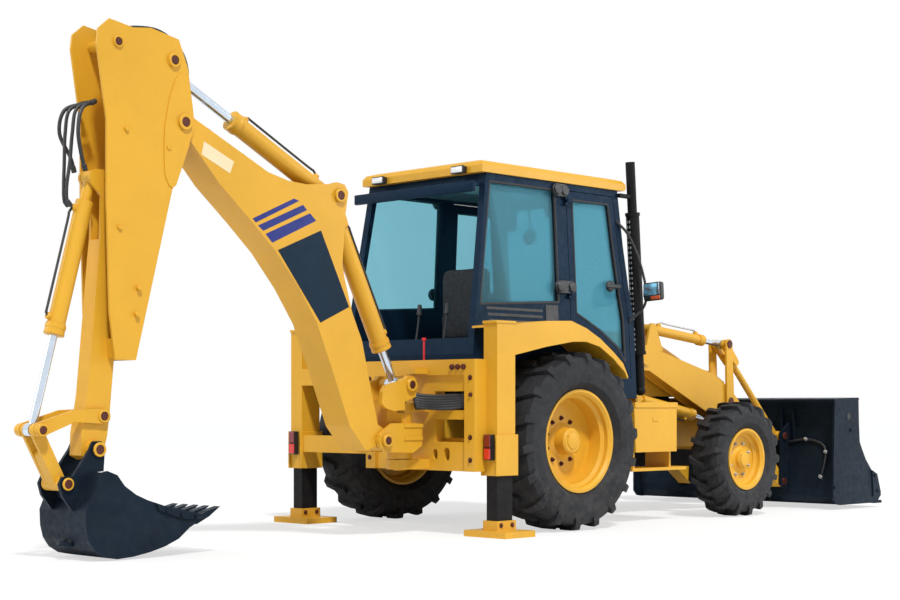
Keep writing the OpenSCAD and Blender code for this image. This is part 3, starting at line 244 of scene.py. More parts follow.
class Shape:
    """Collects boxes, prisms, tubes and lathes into one mesh, in millimetres."""

    def __init__(self, place=None):
        self.bm = bmesh.new()
        self.place = place or Matrix.Identity(4)

    def _merge(self, part, bevel=0.0, segments=1):
        if bevel:
            edges = [e for e in part.edges if len(e.link_faces) == 2 and e.calc_face_angle(0) > 0.6]
            bmesh.ops.bevel(part, geom=edges, offset=bevel, segments=segments, affect="EDGES", profile=0.6,
                            clamp_overlap=True)
        bmesh.ops.transform(part, matrix=self.place, verts=part.verts)
        mesh = bpy.data.meshes.new("part")
        part.to_mesh(mesh)
        part.free()
        self.bm.from_mesh(mesh)
        bpy.data.meshes.remove(mesh)

    def box(self, lo, hi, bevel=3.0, turn=None, segments=1):
        part = bmesh.new()
        size = Vector(hi) - Vector(lo)
        mid = (Vector(hi) + Vector(lo)) / 2
        m = Matrix.Translation(mid)
        if turn is not None:
            m = m @ turn.to_4x4()
        bmesh.ops.create_cube(part, size=1.0, matrix=m @ Matrix.Diagonal((*size, 1.0)))
        self._merge(part, min(bevel, min(size) * 0.42), segments)

    def prism(self, pts, y0, y1, bevel=2.0, axis="y"):
        """A polygon of [x, z] drawn out along y, or of [y, z] along x, or of [x, y] along z."""
        part = bmesh.new()
        make = {"y": lambda p, w: (p[0], w, p[1]), "x": lambda p, w: (w, p[0], p[1]),
                "z": lambda p, w: (p[0], p[1], w)}[axis]
        low = [part.verts.new(make(p, y0)) for p in pts]
        high = [part.verts.new(make(p, y1)) for p in pts]
        part.faces.new(low)
        part.faces.new(list(reversed(high)))
        n = len(pts)
        for i in range(n):
            part.faces.new((low[i], high[i], high[(i + 1) % n], low[(i + 1) % n]))
        bmesh.ops.recalc_face_normals(part, faces=part.faces)
        self._merge(part, bevel)

    def lathe(self, a, b, profile, seg=28):
        """A turned piece on the line from a to b; profile is [along, radius], closed at radius 0."""
        part = bmesh.new()
        a, b = Vector(a), Vector(b)
        w = (b - a).normalized()
        u = w.orthogonal().normalized()
        v = w.cross(u)
        rings = []
        for s, r in profile:
            c = a + w * s
            if r <= 0:
                rings.append([part.verts.new(c)])
            else:
                rings.append([part.verts.new(c + (u * math.cos(t) + v * math.sin(t)) * r)
                              for t in (2 * math.pi * k / seg for k in range(seg))])
        for p, q in zip(rings, rings[1:]):
            for k in range(seg):
                j = (k + 1) % seg
                if len(p) == 1:
                    part.faces.new((p[0], q[k], q[j]))
                elif len(q) == 1:
                    part.faces.new((p[k], p[j], q[0]))
                else:
                    part.faces.new((p[k], p[j], q[j], q[k]))
        bmesh.ops.recalc_face_normals(part, faces=part.faces)
        self._merge(part)

    def rod(self, a, b, r, r2=None, seg=24, edge=2.0):
        """A round bar with broken edges."""
        r2 = r if r2 is None else r2
        n = (Vector(b) - Vector(a)).length
        e = min(edge, r * 0.4, n * 0.4)
        self.lathe(a, b, [(0, 0), (0, r - e), (e, r), (n - e, r2), (n, r2 - e), (n, 0)], seg)

    def bolt(self, a, direction, r=11.0, h=9.0, washer=True):
        d = Vector(direction).normalized()
        a = Vector(a)
        if washer:
            self.lathe(a, a + d, [(0, 0), (0, r * 1.45), (2.5, r * 1.45), (2.5, 0)], 16)
            a = a + d * 2.5
        self.lathe(a, a + d, [(0, 0), (0, r), (h - 1.5, r), (h, r - 1.5), (h, 0)], 6)

    def tube(self, points, r, seg=10, steps=6):
        path = spline(points, steps)
        part = bmesh.new()
        t = (path[1] - path[0]).normalized()
        u = t.orthogonal().normalized()
        rings = []
        for i, p in enumerate(path):
            if 0 < i < len(path) - 1:
                t2 = (path[i + 1] - path[i - 1]).normalized()
            elif i:
                t2 = (path[i] - path[i - 1]).normalized()
            else:
                t2 = t
            u = (t.rotation_difference(t2) @ u).normalized()
            t = t2
            v = t.cross(u)
            rings.append([part.verts.new(p + (u * math.cos(a) + v * math.sin(a)) * r)
                          for a in (2 * math.pi * k / seg for k in range(seg))])
        for p, q in zip(rings, rings[1:]):
            for k in range(seg):
                j = (k + 1) % seg
                part.faces.new((p[k], p[j], q[j], q[k]))
        part.faces.new(list(reversed(rings[0])))
        part.faces.new(rings[-1])
        bmesh.ops.recalc_face_normals(part, faces=part.faces)
        self._merge(part)

    def hose(self, points, r=13.0, fitting=True):
        """A hose with a crimped fitting at both ends."""
        self.tube(points, r)
        if fitting:
            for a, b in ((points[0], points[1]), (points[-1], points[-2])):
                a, b = Vector(a), Vector(b)
                d = (b - a).normalized()
                self.lathe(a, b, [(0, 0), (0, r * 1.1), (4, r * 1.35), (38, r * 1.35), (42, r * 1.1),
                                  (42, 0)], 16)

    def done(self, name, material, body, slot):
        bmesh.ops.transform(self.bm, matrix=TO_ROW, verts=self.bm.verts)
        bmesh.ops.remove_doubles(self.bm, verts=self.bm.verts, dist=1e-7)
        mesh = bpy.data.meshes.new(name)
        self.bm.to_mesh(mesh)
        self.bm.free()
        mesh.polygons.foreach_set("use_smooth", [True] * len(mesh.polygons))
        mesh.set_sharp_from_angle(angle=math.radians(32))
        mesh.materials.append(material)
        o = bpy.data.objects.new(name, mesh)
        bpy.context.scene.collection.objects.link(o)
        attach(o, body)
        return o


def lean(s):
    """Places a shape drawn at y = 0 on the cab's leaning side s."""
    turn = Matrix.Rotation(math.radians(s * CAB_LEAN), 4, "X")
    return Matrix.Translation((0, s * CAB_HALF, LEAN_Z)) @ turn @ Matrix.Translation((0, 0, -LEAN_Z))


Y_DARK, Y_PAINT = "dark_paint", "yellow_paint"

# ---------------------------------------------------------------- wheels
WHEELS = [("rear", 0, 938, 661, -20, 95, 10, 170, 13), ("front", 2228, 912, 477, 40, 100, 8, 138, 10)]
for kind, wx, wy, wz, disc, hub, count, ring, br in WHEELS:
    for side, name in ((1, "left"), (-1, "right")):
        body = "%s_%s_wheel" % (kind, name)
        nuts, cap = Shape(), Shape()
        out = Vector((0, side, 0))
        for k in range(count):
            a = 2 * math.pi * (k + 0.5) / count
            p = Vector((wx + ring * math.cos(a), side * (wy + disc), wz + ring * math.sin(a)))
            nuts.bolt(p, out, br, 16)
            nuts.rod(p + out * 12, p + out * 26, br * 0.55, seg=12)
        c = Vector((wx, side * (wy + hub), wz))
        cap.lathe(c, c + out, [(0, 0), (0, 60), (6, 58), (10, 40), (10, 0)], 36)
        for k in range(3):
            a = 2 * math.pi * k / 3 + 0.4
            cap.bolt(c + Vector((66 * math.cos(a), 0, 66 * math.sin(a))), out, 6, 6, False)
        nuts.done("%s_%s_wheel_nuts" % (kind, name), PIN_END if kind == "rear" else STEEL, body,
                  "chromed_rod")
        cap.done("%s_%s_hub_cap" % (kind, name), YELLOW, body, Y_PAINT)

# ---------------------------------------------------------------- digging arm: pins, stripes, hoses
BOOM_HALF = 125
BOOM_STRIPES = [[(-2649, 2136), (-2301, 2295), (-2254, 2284), (-2623, 2112)],
                [(-2604, 2094), (-2221, 2260), (-2187, 2228), (-2560, 2063)],
                [(-2541, 2044), (-2160, 2209), (-2107, 2163), (-2486, 1990)]]
BOOM_PANEL = [(-2437, 1945), (-2063, 2101), (-1810, 1597), (-2068, 1481)]
BOOM_PALE = [(-3040, 2592), (-2801, 2488), (-2833, 2410), (-3060, 2508)]
stripes, panel, pale = Shape(), Shape(), Shape()
for s in (-1, 1):
    y = sorted((HOE_Y + s * BOOM_HALF, HOE_Y + s * (BOOM_HALF + 1.2)))
    for poly in BOOM_STRIPES:
        stripes.prism(poly, y[0], y[1], 0)
    panel.prism(BOOM_PANEL, y[0], y[1], 0)
    pale.prism(BOOM_PALE, y[0], y[1], 0)
stripes.done("boom_stripes", BLUE, "boom", Y_DARK)
panel.done("boom_dark_panel", DARK_FILM, "boom", Y_DARK)
pale.done("boom_pale_panel", PALE_FILM, "boom", Y_PAINT)


def pin_heads(name, body, p, half, r=30, boss=46, depth=14):
    """A round boss with a dark pin end in it, on both sides of the digging arm."""
    bosses, ends = Shape(), Shape()
    for s in (-1, 1):
        a = Vector((p[0], HOE_Y + s * half, p[1]))
        d = Vector((0, s, 0))
        bosses.lathe(a, a + d, [(0, 0), (0, boss), (depth - 3, boss), (depth, boss - 3), (depth, r + 2),
                                (depth - 7, r + 2), (depth - 7, 0)], 32)
        ends.lathe(a + d * (depth - 7), a + d * depth, [(0, 0), (0, r), (3, r), (5, r - 3), (5, 0)], 28)
    bosses.done(name + "_bosses", YELLOW, body, Y_PAINT)
    ends.done(name + "_pin_ends", PIN_END, body, Y_DARK)


pin_heads("hump", "boom", (-1900, 2350), 135)
pin_heads("boom_foot", "boom", (-1500, 680), 182, 28, 44, 12)
pin_heads("dipper_pivot", "dipper", (-3210, 2690), 157, 30, 50, 14)
pin_heads("dipper_top", "dipper", (-3290, 3065), 152, 28, 44, 14)
pin_heads("dipper_high", "dipper", (-3700, 3120), 147, 24, 36, 12)
pin_heads("boom_cylinder_foot", "swing_post", (-1265, 1070), 178, 28, 46, 12)
pin_heads("bucket_pin", "hoe_bucket", (-3820, 660), 130, 28, 44, 10)
pin_heads("bucket_link_pin", "hoe_bucket", (-4040, 460), 132, 26, 38, 10)
pin_heads("lever_end", "bucket_lever", (-4205, 780), 122, 24, 38, 10)
pin_heads("lever_pivot", "bucket_lever", (-3760, 860), 89, 26, 40, 8)

DIPPER_HALF = 147
small = Shape()
for s in (-1, 1):
    y = HOE_Y + s * DIPPER_HALF
    for x, z in ((-3640, 2600), (-3690, 2000), (-3330, 2520)):
        small.rod((x, y, z), (x, y + s * 14, z), 15, seg=16)
    for x, z in ((-3555, 1640), (-3570, 1480)):
        small.rod((x, y, z), (x, y + s * 26, z), 17, seg=16)
small.done("dipper_grease_bosses", YELLOW, "dipper", Y_PAINT)

hoses = Shape()
hoses.hose([(-3640, -420, 3215), (-3500, -400, 3262), (-3330, -395, 3268), (-3160, -400, 3190),
            (-3080, -410, 3040), (-3085, -425, 2880), (-3130, -430, 2800)], 13)
hoses.hose([(-3640, -480, 3215), (-3500, -500, 3250), (-3330, -505, 3250), (-3180, -500, 3170),
            (-3110, -490, 3040), (-3120, -480, 2860)], 13)
hoses.done("dipper_top_hoses", HOSE, "dipper", Y_DARK)

side_hoses = Shape()
for k, dy in enumerate((-60, -24, 24, 60)):
    upper = [(-3800, HOE_Y + dy, 2760), (-3905 - 10 * k, HOE_Y + dy * 1.2, 2700),
             (-3935 - 10 * k, HOE_Y + dy * 1.3, 2560)]
    if abs(dy) > 30:
        side_hoses.hose(upper + [(-3900, HOE_Y + dy, 2420), (-3872, HOE_Y + dy, 2330)], 12)
    else:
        side_hoses.hose(upper + [(-3950 - 8 * k, HOE_Y + dy, 2380), (-3975, HOE_Y + dy * 0.7, 2240),
                                 (-3972, HOE_Y + dy * 0.6, 2150), (-3944, HOE_Y + dy * 0.6, 2118)], 11)
side_hoses.done("dipper_side_hoses", HOSE, "dipper", Y_DARK)

boom_hoses = Shape()
for dy in (-48, 0, 48):
    boom_hoses.tube([(-3080, HOE_Y + dy, 2722), (-2840, HOE_Y + dy, 2618), (-2520, HOE_Y + dy, 2466),
                     (-2350, HOE_Y + dy, 2426)], 11)
boom_hoses.done("boom_top_hoses", HOSE, "boom", Y_DARK)
clamps = Shape()
for x, z in ((-2960, 2664), (-2680, 2533)):
    clamps.box((x - 16, HOE_Y - 72, z - 6), (x + 16, HOE_Y + 72, z + 24), 3,
               Matrix.Rotation(math.radians(25), 3, "Y"))
clamps.done("boom_hose_clamps", STEEL, "boom", Y_DARK)

# ---------------------------------------------------------------- cylinders: glands, pipes and ports
def unit2(a, b):
    d = Vector((b[0] - a[0], 0, b[1] - a[1]))
    return d.normalized()


def dress_barrel(name, body, base, tip, s0, s1, r, ys, side):
    """Gland ring, port blocks and a hard pipe along a barrel."""
    rings, pipes = Shape(), Shape()
    d = unit2(base, tip)
    n = Vector((-d.z, 0, d.x)) * side
    for y in ys:
        o = Vector((base[0], y, base[1]))
        rings.lathe(o + d * (s1 - 62), o + d * s1, [(0, 0), (0, r + 4), (3, r + 9), (22, r + 9),
                                                    (25, r + 6.5), (44, r + 6.5), (46, r + 8.5),
                                                    (60, r + 8.5), (62.5, r + 4), (62.5, 28), (60, 0)],
                    36)
        for s in (s0 + 60, s1 - 100):
            c = o + d * s + n * r
            rings.lathe(c - n * 8, c + n * 30, [(0, 0), (0, 22), (26, 22), (30, 18), (30, 0)], 20)
        pipes.tube([o + d * (s0 + 60) + n * (r + 18), o + d * (s0 + 105) + n * (r + 34),
                    o + d * (s0 + 160) + n * (r + 30), o + d * (s1 - 160) + n * (r + 30),
                    o + d * (s1 - 125) + n * (r + 30), o + d * (s1 - 100) + n * (r + 18)], 8, steps=4)
    rings.done(name + "_fittings", YELLOW, body, Y_PAINT)
    pipes.done(name + "_pipe", STEEL if "tilt" in name else HOSE, body, Y_DARK)


dress_barrel("boom_cylinder", "boom_barrel", (-1900, 2350), (-1265, 1070), 170, 1150, 64, (HOE_Y,), 1)
dress_barrel("dipper_cylinder", "dipper_barrel", (-1900, 2350), (-3290, 3065), 90, 935, 62, (HOE_Y,), -1)
dress_barrel("bucket_cylinder", "bucket_barrel", (-3800, 2300), (-4205, 780), 150, 990, 54, (HOE_Y,), -1)
dress_barrel("lift_cylinder", "lift_barrels", (1400, 985), (2480, 800), 90, 800, 44, (-ARM_Y, ARM_Y), -1)
dress_barrel("tilt_cylinder", "tilt_barrels", (1570, 1560), (2600, 1455), 90, 765, 40, (-ARM_Y, ARM_Y), 1)

# ---------------------------------------------------------------- cab
for s, name in ((1, "left"), (-1, "right")):
    m = lean(s)
    gasket, knobs, grille = Shape(m), Shape(m), Shape(m)
    # Hinge plates of the rear side window, with their discs
    for z, x0, x1 in ((2580, 264, 346), (1833, 253, 393)):
        oval = [(x1 + 50 * math.sin(t), z + 50 * math.cos(t))
                for t in (math.pi * k / 12 for k in range(13))]
        oval += [(x0 - 50 * math.sin(t), z - 50 * math.cos(t))
                 for t in (math.pi * k / 12 for k in range(13))]
        knobs.prism(oval, min(0, s * 24), max(0, s * 24), 4)
        for x in (x0, x1):
            knobs.lathe((x, s * 22, z), (x, s * 23, z),
                        [(0, 0), (0, 40), (10, 40), (15, 35), (16, 20), (16, 0)], 28)
    # Slotted panel under the rear side window
    for k in range(3):
        z = 1640 - 46 * k
        grille.box((-560 + 10 * k, min(s * 2, -s * 6), z - 12), (60, max(s * 2, -s * 6), z + 12), 5)
    grille.box((90, min(s * 6, 0), 1500), (236, max(s * 6, 0), 1690), 5)
    grille.done("cab_%s_panel_slots" % name, BLACK, "machine", Y_DARK)
    knobs.done("cab_%s_hinge_discs" % name, BLACK, "machine", Y_DARK)
    # Window seals
    win = [(-622, 1665), (-470, 2580), (255, 2580), (255, 1715)]
    for a, b in zip(win, win[1:] + win[:1]):
        gasket.tube([(a[0], -s * 8, a[1]), (b[0], -s * 8, b[1])], 11, 8)
    gasket.done("cab_%s_window_seal" % name, BLACK, "machine", Y_DARK)
    # Door: handle, and a black tube round the door's edge, which follows the fender's curve at the bottom
    handle = Shape(m)
    handle.lathe((872, 0, 1868), (872, s, 1868), [(0, 0), (0, 44), (14, 44), (22, 36), (22, 0)], 28)
    handle.box((800, min(s * 18, s * 34), 1850), (980, max(s * 18, s * 34), 1884), 8)
    handle.done("door_%s_handle" % name, BLACK, "%s_door" % name, Y_DARK)
    door_edge_tube = Shape(m)
    dpts = [(455, 1640), (455, 2518), (890, 2518), (930, 2190), (978, 1860), (1026, 1600), (1026, 1270),
            (930, 1390), (740, 1505), (590, 1580)]
    for a, b in zip(dpts, dpts[1:] + dpts[:1]):
        door_edge_tube.tube([(a[0], -s * 4, a[1]), (b[0], -s * 4, b[1])], 10, 8)
    door_edge_tube.done("door_%s_seal" % name, BLACK, "%s_door" % name, Y_DARK)

# Interior: seat, levers, inside mirrors, dash and mat, above the cab's floor
FLOOR = 1020.0


def cushion(name, lo, hi, crown, channels=(), axis=2):
    """A stuffed pad: a crowned form with sides pulled in between its corners and sewn channels."""
    lo, hi = Vector(lo), Vector(hi)
    mid, half = (lo + hi) / 2, (hi - lo) / 2
    part = bmesh.new()
    bmesh.ops.create_cube(part, size=2.0)
    bmesh.ops.subdivide_edges(part, edges=part.edges, cuts=15, use_grid_fill=True)
    a, b = [k for k in range(3) if k != axis]
    for v in part.verts:
        q = v.co.copy()
        # Rounded edges, by the power form of a box
        n = (abs(q.x) ** 7 + abs(q.y) ** 7 + abs(q.z) ** 7) ** (1 / 7)
        q = q / n
        flat = (1 - q[a] ** 4) * (1 - q[b] ** 4)
        p = q.copy()
        p[a] *= 1 - 0.035 * (1 - q[b] ** 2)
        p[b] *= 1 - 0.035 * (1 - q[a] ** 2)
        grow = (crown / half[axis]) * (flat - 1)
        for c in channels:
            grow -= (9.0 / half[axis]) * math.exp(-((q[b] - c) / 0.045) ** 2)
        if q[axis] > 0:
            p[axis] += grow * q[axis]
        v.co = Vector((mid.x + p.x * half.x, mid.y + p.y * half.y, mid.z + p.z * half.z))
    pad = Shape()
    pad._merge(part)
    o = pad.done(name, FABRIC, "machine", "seat_fabric")
    return o


cushion("seat_cushion", (-70, -250, FLOOR + 305), (396, 250, FLOOR + 417), 22, (-0.5, 0.5))
cushion("seat_back", (-106, -240, FLOOR + 424), (-8, 240, FLOOR + 974), 18, (-0.5, 0.0, 0.5), axis=0)
base = Shape()
for k in range(5):
    w = 146 - 12 * (k % 2)
    base.box((-8, -w, FLOOR + 40 + 50 * k), (268, w, FLOOR + 90 + 50 * k), 14, segments=2)
base.box((-10, -150, FLOOR), (270, 150, FLOOR + 42), 8)
base.box((-60, -220, FLOOR + 288), (360, 220, FLOOR + 306), 6)
for y in (-1, 1):
    base.box((-60, y * 255 - 22, FLOOR + 560), (210, y * 255 + 22, FLOOR + 610), 16, segments=3)
    base.box((-70, y * 250 - 12, FLOOR + 430), (-30, y * 250 + 12, FLOOR + 600), 6)
base_obj = base.done("seat_base", PLASTIC, "machine", "grey_plastic")
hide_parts("seat")
controls = Shape()
for y in (-150, 150):
    controls.tube([(-470, y, 1400), (-440, y, 1560), (-430, y, 1640)], 9, 8)
    controls.rod((-430, y, 1620), (-426, y, 1700), 22, 16)
    controls.lathe((-470, y, 1396), (-468, y, 1420), [(0, 0), (0, 40), (8, 36), (26, 14), (26, 0)], 20)
for y in (-210, 210):
    controls.tube([(840, y * 0.4, 1450), (820, y * 0.9, 1560), (800, y, 1600)], 7, 8)
controls.tube([(560, 100, 2640), (556, 100, 2540), (552, 100, 2450)], 8, 8)
controls.box((536, 30, 2330), (560, 170, 2480), 12, segments=3)
controls.tube([(1000, 300, 2566), (1010, 300, 2480), (1012, 300, 2390)], 7, 8)
controls.lathe((1002, 300, 2330), (1012, 302, 2330), [(0, 0), (0, 60), (6, 66), (16, 60), (16, 0)], 28)
controls.done("cab_controls", BLACK, "machine", Y_DARK)
dash = Shape()
dash.prism([(780, 1480), (930, 1480), (980, 1620), (900, 1680), (800, 1560)], -260, 260, 10)
dash.box((-560, -420, 1020), (740, 420, 1027), 2)
dash.done("dashboard", PLASTIC, "machine", "grey_plastic")

# The windshield's wiper: motor inside the glass, arm and blade outside
wiper = Shape()
wiper.box((925, -70, 2478), (985, 70, 2564), 10, segments=2)
wiper.rod((980, 0, 2520), (1032, 0, 2520), 14, seg=16)
wiper.tube([(1026, 0, 2520), (1046, 30, 2420), (1070, 80, 2200)], 7, 8)
wiper.tube([(1040, 20, 2340), (1066, 78, 2130), (1106, 150, 1850)], 9, 6)
wiper.done("front_wiper", BLACK, "machine", Y_DARK)

# The raised rear window's lower bar behind the cab, on its two side rails
bar = Shape()
bar.box((-665, -640, 2488), (-625, 640, 2566), 10, segments=2)
for y in (-590, 590):
    bar.box((-636, y - 12, 2536), (-440, y + 12, 2566), 4)
bar.done("rear_window_bar", NAVY, "machine", Y_DARK)

# Lamps on the roof's ends and on the nose
glow, frames = Shape(), Shape()
for y in (-430, 430):
    frames.box((-612, y - 66, 2637), (-592, y + 66, 2697), 8, segments=2)
    glow.box((-619, y - 56, 2646), (-608, y + 56, 2688), 5, segments=2)
    frames.box((1122, y - 66, 2647), (1140, y + 66, 2697), 8, segments=2)
    glow.box((1134, y - 56, 2654), (1145, y + 56, 2690), 5, segments=2)
for y in (-300, 300):
    frames.box((2822, y - 70, 850), (2836, y + 70, 960), 8)
    glow.box((2832, y - 58, 862), (2842, y + 58, 948), 6)
frames.done("lamp_housings", BLACK, "machine", Y_DARK)
glow.done("lamp_lenses", CLEAR_LENS, "machine", "lamp_glass")

red, dark_red = Shape(), Shape()
for y in (1057, -1057):
    dark_red.box((-954, y - 30, 632), (-944, y + 30, 716), 4)
    red.box((-954, y - 30, 546), (-944, y + 30, 622), 4)
dark_red.done("tail_lamp_upper", DARK_RED_LENS, "machine", "red_lens")
red.done("tail_lamp_lower", RED_LENS, "machine", "red_lens")

# Mirrors: bent bracket tubes, rounded heads, glass and indicators
for s, name in ((1, "left"), (-1, "right")):
    br, head, face, ind = Shape(), Shape(lean(s)), Shape(lean(s)), Shape(lean(s))
    br.tube([(985, s * 640, 2395), (1070, s * 690, 2300), (1135, s * 740, 2130), (1172, s * 775, 1960),
             (1185, s * 795, 1810), (1170, s * 770, 1700), (1102, s * 688, 1600)], 11, 10)
    br.tube([(1183, s * 792, 1830), (1165, s * 830, 1828), (1140, s * 862, 1822)], 12, 10)
    br.box((1168, s * 790 - 18, 1790), (1200, s * 790 + 18, 1850), 5)
    head.box((1096, min(s * 152, s * 328), 1742), (1154, max(s * 152, s * 328), 1888), 24, segments=4)
    face.box((1093, min(s * 164, s * 316), 1784), (1099, max(s * 164, s * 316), 1878), 2, segments=2)
    ind.box((1091, min(s * 232, s * 318), 1750), (1100, max(s * 232, s * 318), 1777), 3, segments=2)
    br.done("mirror_%s_bracket" % name, BLACK, "machine", Y_DARK)
    head.done("mirror_%s_head" % name, BLACK, "machine", Y_DARK)
    face.done("mirror_%s_glass" % name, CHROME, "machine", "chromed_rod")
    ind.done("mirror_%s_indicator" % name, ORANGE_LENS, "machine", "red_lens")
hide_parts("mirrors")

# Exhaust: perforated guard and bracket
guard, dots = Shape(), Shape()
ex_low, ex_top = Vector((1290, -650, 1075)), Vector((1157, -650, 2880))
ex = (ex_top - ex_low).normalized()
for k in range(26):
    p = ex_low + ex * (300 + k * 41)
    for side in (-1, 1):
        dots.box(p + Vector((-61, side * 10 - 4, -10)), p + Vector((-50, side * 10 + 4, 10)), 1)
for sft in (262, 1378):
    p = ex_low + ex * sft
    guard.lathe(p, p + ex, [(0, 0), (0, 60), (26, 60), (26, 0)], 32)
p = ex_low + ex * 1530
guard.box((1010, -668, p.z - 16), (p.x, -632, p.z + 16), 4)
guard.box((1040, -664, 1560), (1262, -636, 1592), 4)
guard.done("exhaust_guard_rings", BLACK_PAINT, "machine", Y_DARK)
dots.done("exhaust_guard_slots", STEEL, "machine", Y_DARK)

# ---------------------------------------------------------------- rear frame and carriage
POST_Y = 1050
caps = Shape()
for s in (-1, 1):
    y = s * POST_Y
    caps.box((-915, y - 72, 1500), (-710, y + 72, 1520), 4)
    caps.box((-925, y - 78, 430), (-700, y - 66, 720), 3)
    caps.box((-925, y + 66, 430), (-700, y + 78, 720), 3)
caps.done("stabilizer_post_caps", YELLOW, "machine", Y_PAINT)
for s, name in ((1, "left"), (-1, "right")):
    bolts = Shape()
    y = s * POST_Y
    for x in (-870, -755):
        bolts.bolt((x, y - 70, 84), (0, -1, 0), 12, 8)
        bolts.bolt((x, y + 70, 84), (0, 1, 0), 12, 8)
    bolts.done("stabilizer_%s_bolts" % name, PIN_END, "%s_stabilizer" % name, Y_DARK)

carr, cpins, stay = Shape(), Shape(), Shape()
for y in (-905, -850, -795):
    cpins.rod((-1024, y, 1196), (-1044, y, 1196), 21, 18)
cpins.rod((-1024, -975, 1000), (-1040, -975, 1000), 16, 14)
for z in (540, 700, 1120):
    carr.bolt((-1025.5, -968, z), (-1, 0, 0), 13, 9)
    carr.bolt((-1025.5, 68, z), (-1, 0, 0), 13, 9)
stay.tube([(-1010, -491, 1245), (-1010, -491, 1400)], 7, 8)
stay.rod((-1010, -491, 1392), (-1010, -491, 1412), 15, seg=16)
carr.done("carriage_bolts", PIN_END, "carriage", Y_DARK)
cpins.done("carriage_pin_heads", PIN_END, "carriage", Y_DARK)
stay.done("carriage_red_rod", RED, "carriage", "red_lens")
ch = Shape()
for k in range(6):
    z = 1002 - 18 * k
    ch.hose([(-1180, -545 - 6 * k, z), (-1120, -600, z - 6), (-1060, -680 - 8 * k, z - 12),
             (-1000, -790, z - 6), (-955, -870 + 6 * k, z)], 12)
ch.done("carriage_hoses", HOSE, "carriage", Y_DARK)

# ---------------------------------------------------------------- front: hood louvres, nose grille, side box lids
lou, trim = Shape(), Shape()
for s in (-1, 1):
    for k in range(9):
        x = 1950 + 56 * k
        lou.box((x, s * 386 - 4, 1050), (x + 30, s * 386 + 4, 1190), 3)
lou.done("hood_louvres", BLACK, "hood", Y_DARK)
for k in range(7):
    z = 640 + 28 * k
    trim.box((2822, -250, z), (2836, 250, z + 14), 3)
trim.done("nose_grille", BLACK, "machine", Y_DARK)
boxes = Shape()
for s in (-1, 1):
    y = s * 1002
    boxes.box((772, y - 6, 905), (1318, y + 6, 948), 4)
    boxes.box((1000, y - 4, 800), (1070, y + 8, 830), 3)
boxes.done("side_box_lids", YELLOW, "machine", Y_PAINT)

# ---------------------------------------------------------------- loader details
for s, name in ((1, "left"), (-1, "right")):
    ly = s * ARM_Y
    lb = Shape()
    # A thin boss on the inner side of the arm's foot, where the tower's plate doesn't cover it
    a = Vector((1450, ly - s * 70, 1300))
    lb.lathe(a, a + Vector((0, -s, 0)), [(0, 0), (0, 62), (4, 62), (4, 0)], 32)
    lb.done("loader_arm_%s_boss" % name, YELLOW, "loader_arm", Y_PAINT)
    for (x, z), half, body in (((2620, 960), 96, "loader_levers"), ((2600, 1455), 96, "loader_levers"),
                               ((3440, 240), 96, "loader_bucket"), ((3440, 650), 104, "loader_bucket")):
        e = Shape()
        for q in (-1, 1):
            a = Vector((x, ly + q * half, z))
            e.lathe(a, a + Vector((0, q, 0)), [(0, 0), (0, 34), (8, 34), (11, 30), (11, 0)], 28)
        e.done("loader_pin_%s_%d_%d" % (name, x, z), PIN_END, body, Y_DARK)

edge = Shape()
edge.prism([(4110, 36), (4236, 36), (4232, 62), (4110, 64)], -1122, 1122, 3)
for k in range(9):
    y = -1000 + 250 * k
    edge.lathe((4160, y, 62), (4160, y, 70), [(0, 0), (0, 16), (6, 14), (6, 0)], 16)
edge.done("loader_cutting_edge", BUCKET, "loader_bucket", "worn_black_steel")

ribs, pipe, ends, hole_shade = Shape(), Shape(), Shape(), Shape()
for side in (-1, 1):
    for y, z in ((520, 519), (650, 589)):
        low = 3500 + (z - 420) * 0.136
        ribs.prism([(3532, 901), (3506, 880), (3509, 760), (3504, 660), (low - 14, z + 40), (low + 1, z),
                    (3532, 640), (3547, 800)], side * y - 7, side * y + 7, 2)
    ribs.tube([(3541, side * 646, 743), (3541, side * 834, 743), (3541, side * 1023, 743)], 6, 8)
    y = sorted((side * 1119, side * 1133))
    ribs.prism([(4053, 339), (4140, 303), (4205, 130), (4075, 100)], y[0], y[1], 3)
    for x, z in ((3706, 705), (3446, 201), (4092, 290), (4140, 150)):
        ribs.bolt((x, side * (1133 if x > 4000 else 1120), z), (0, side, 0), 13, 9)
    # Black discs stand in for holes in the side plates: their black is painted shade inside the holes
    hole_shade.lathe((3672, side * 1119, 828), (3672, side * 1120, 828),
                [(0, 0), (0, 30), (4, 30), (4, 22), (2, 20), (2, 0)], 28)
pipe.tube([(3512, -608, 596), (3514, -690, 612), (3516, -778, 620), (3514, -880, 606), (3510, -946, 583),
           (3500, -985, 548), (3496, -998, 500), (3486, -985, 400), (3486, -950, 283)], 11, 10)
for x, y, z in ((3516, -778, 620), (3496, -998, 512), (3486, -950, 290)):
    ends.rod((x, y - 16, z - 8), (x, y + 16, z + 8), 17, seg=16)
ribs.done("loader_bucket_ribs", BUCKET, "loader_bucket", "worn_black_steel")
hole_shade.done("loader_bucket_hole_shade", BLACK, "loader_bucket", "worn_black_steel")
pipe.done("loader_bucket_pipe", HOSE, "loader_bucket", Y_DARK)
ends.done("loader_bucket_pipe_clips", STEEL, "loader_bucket", Y_DARK)

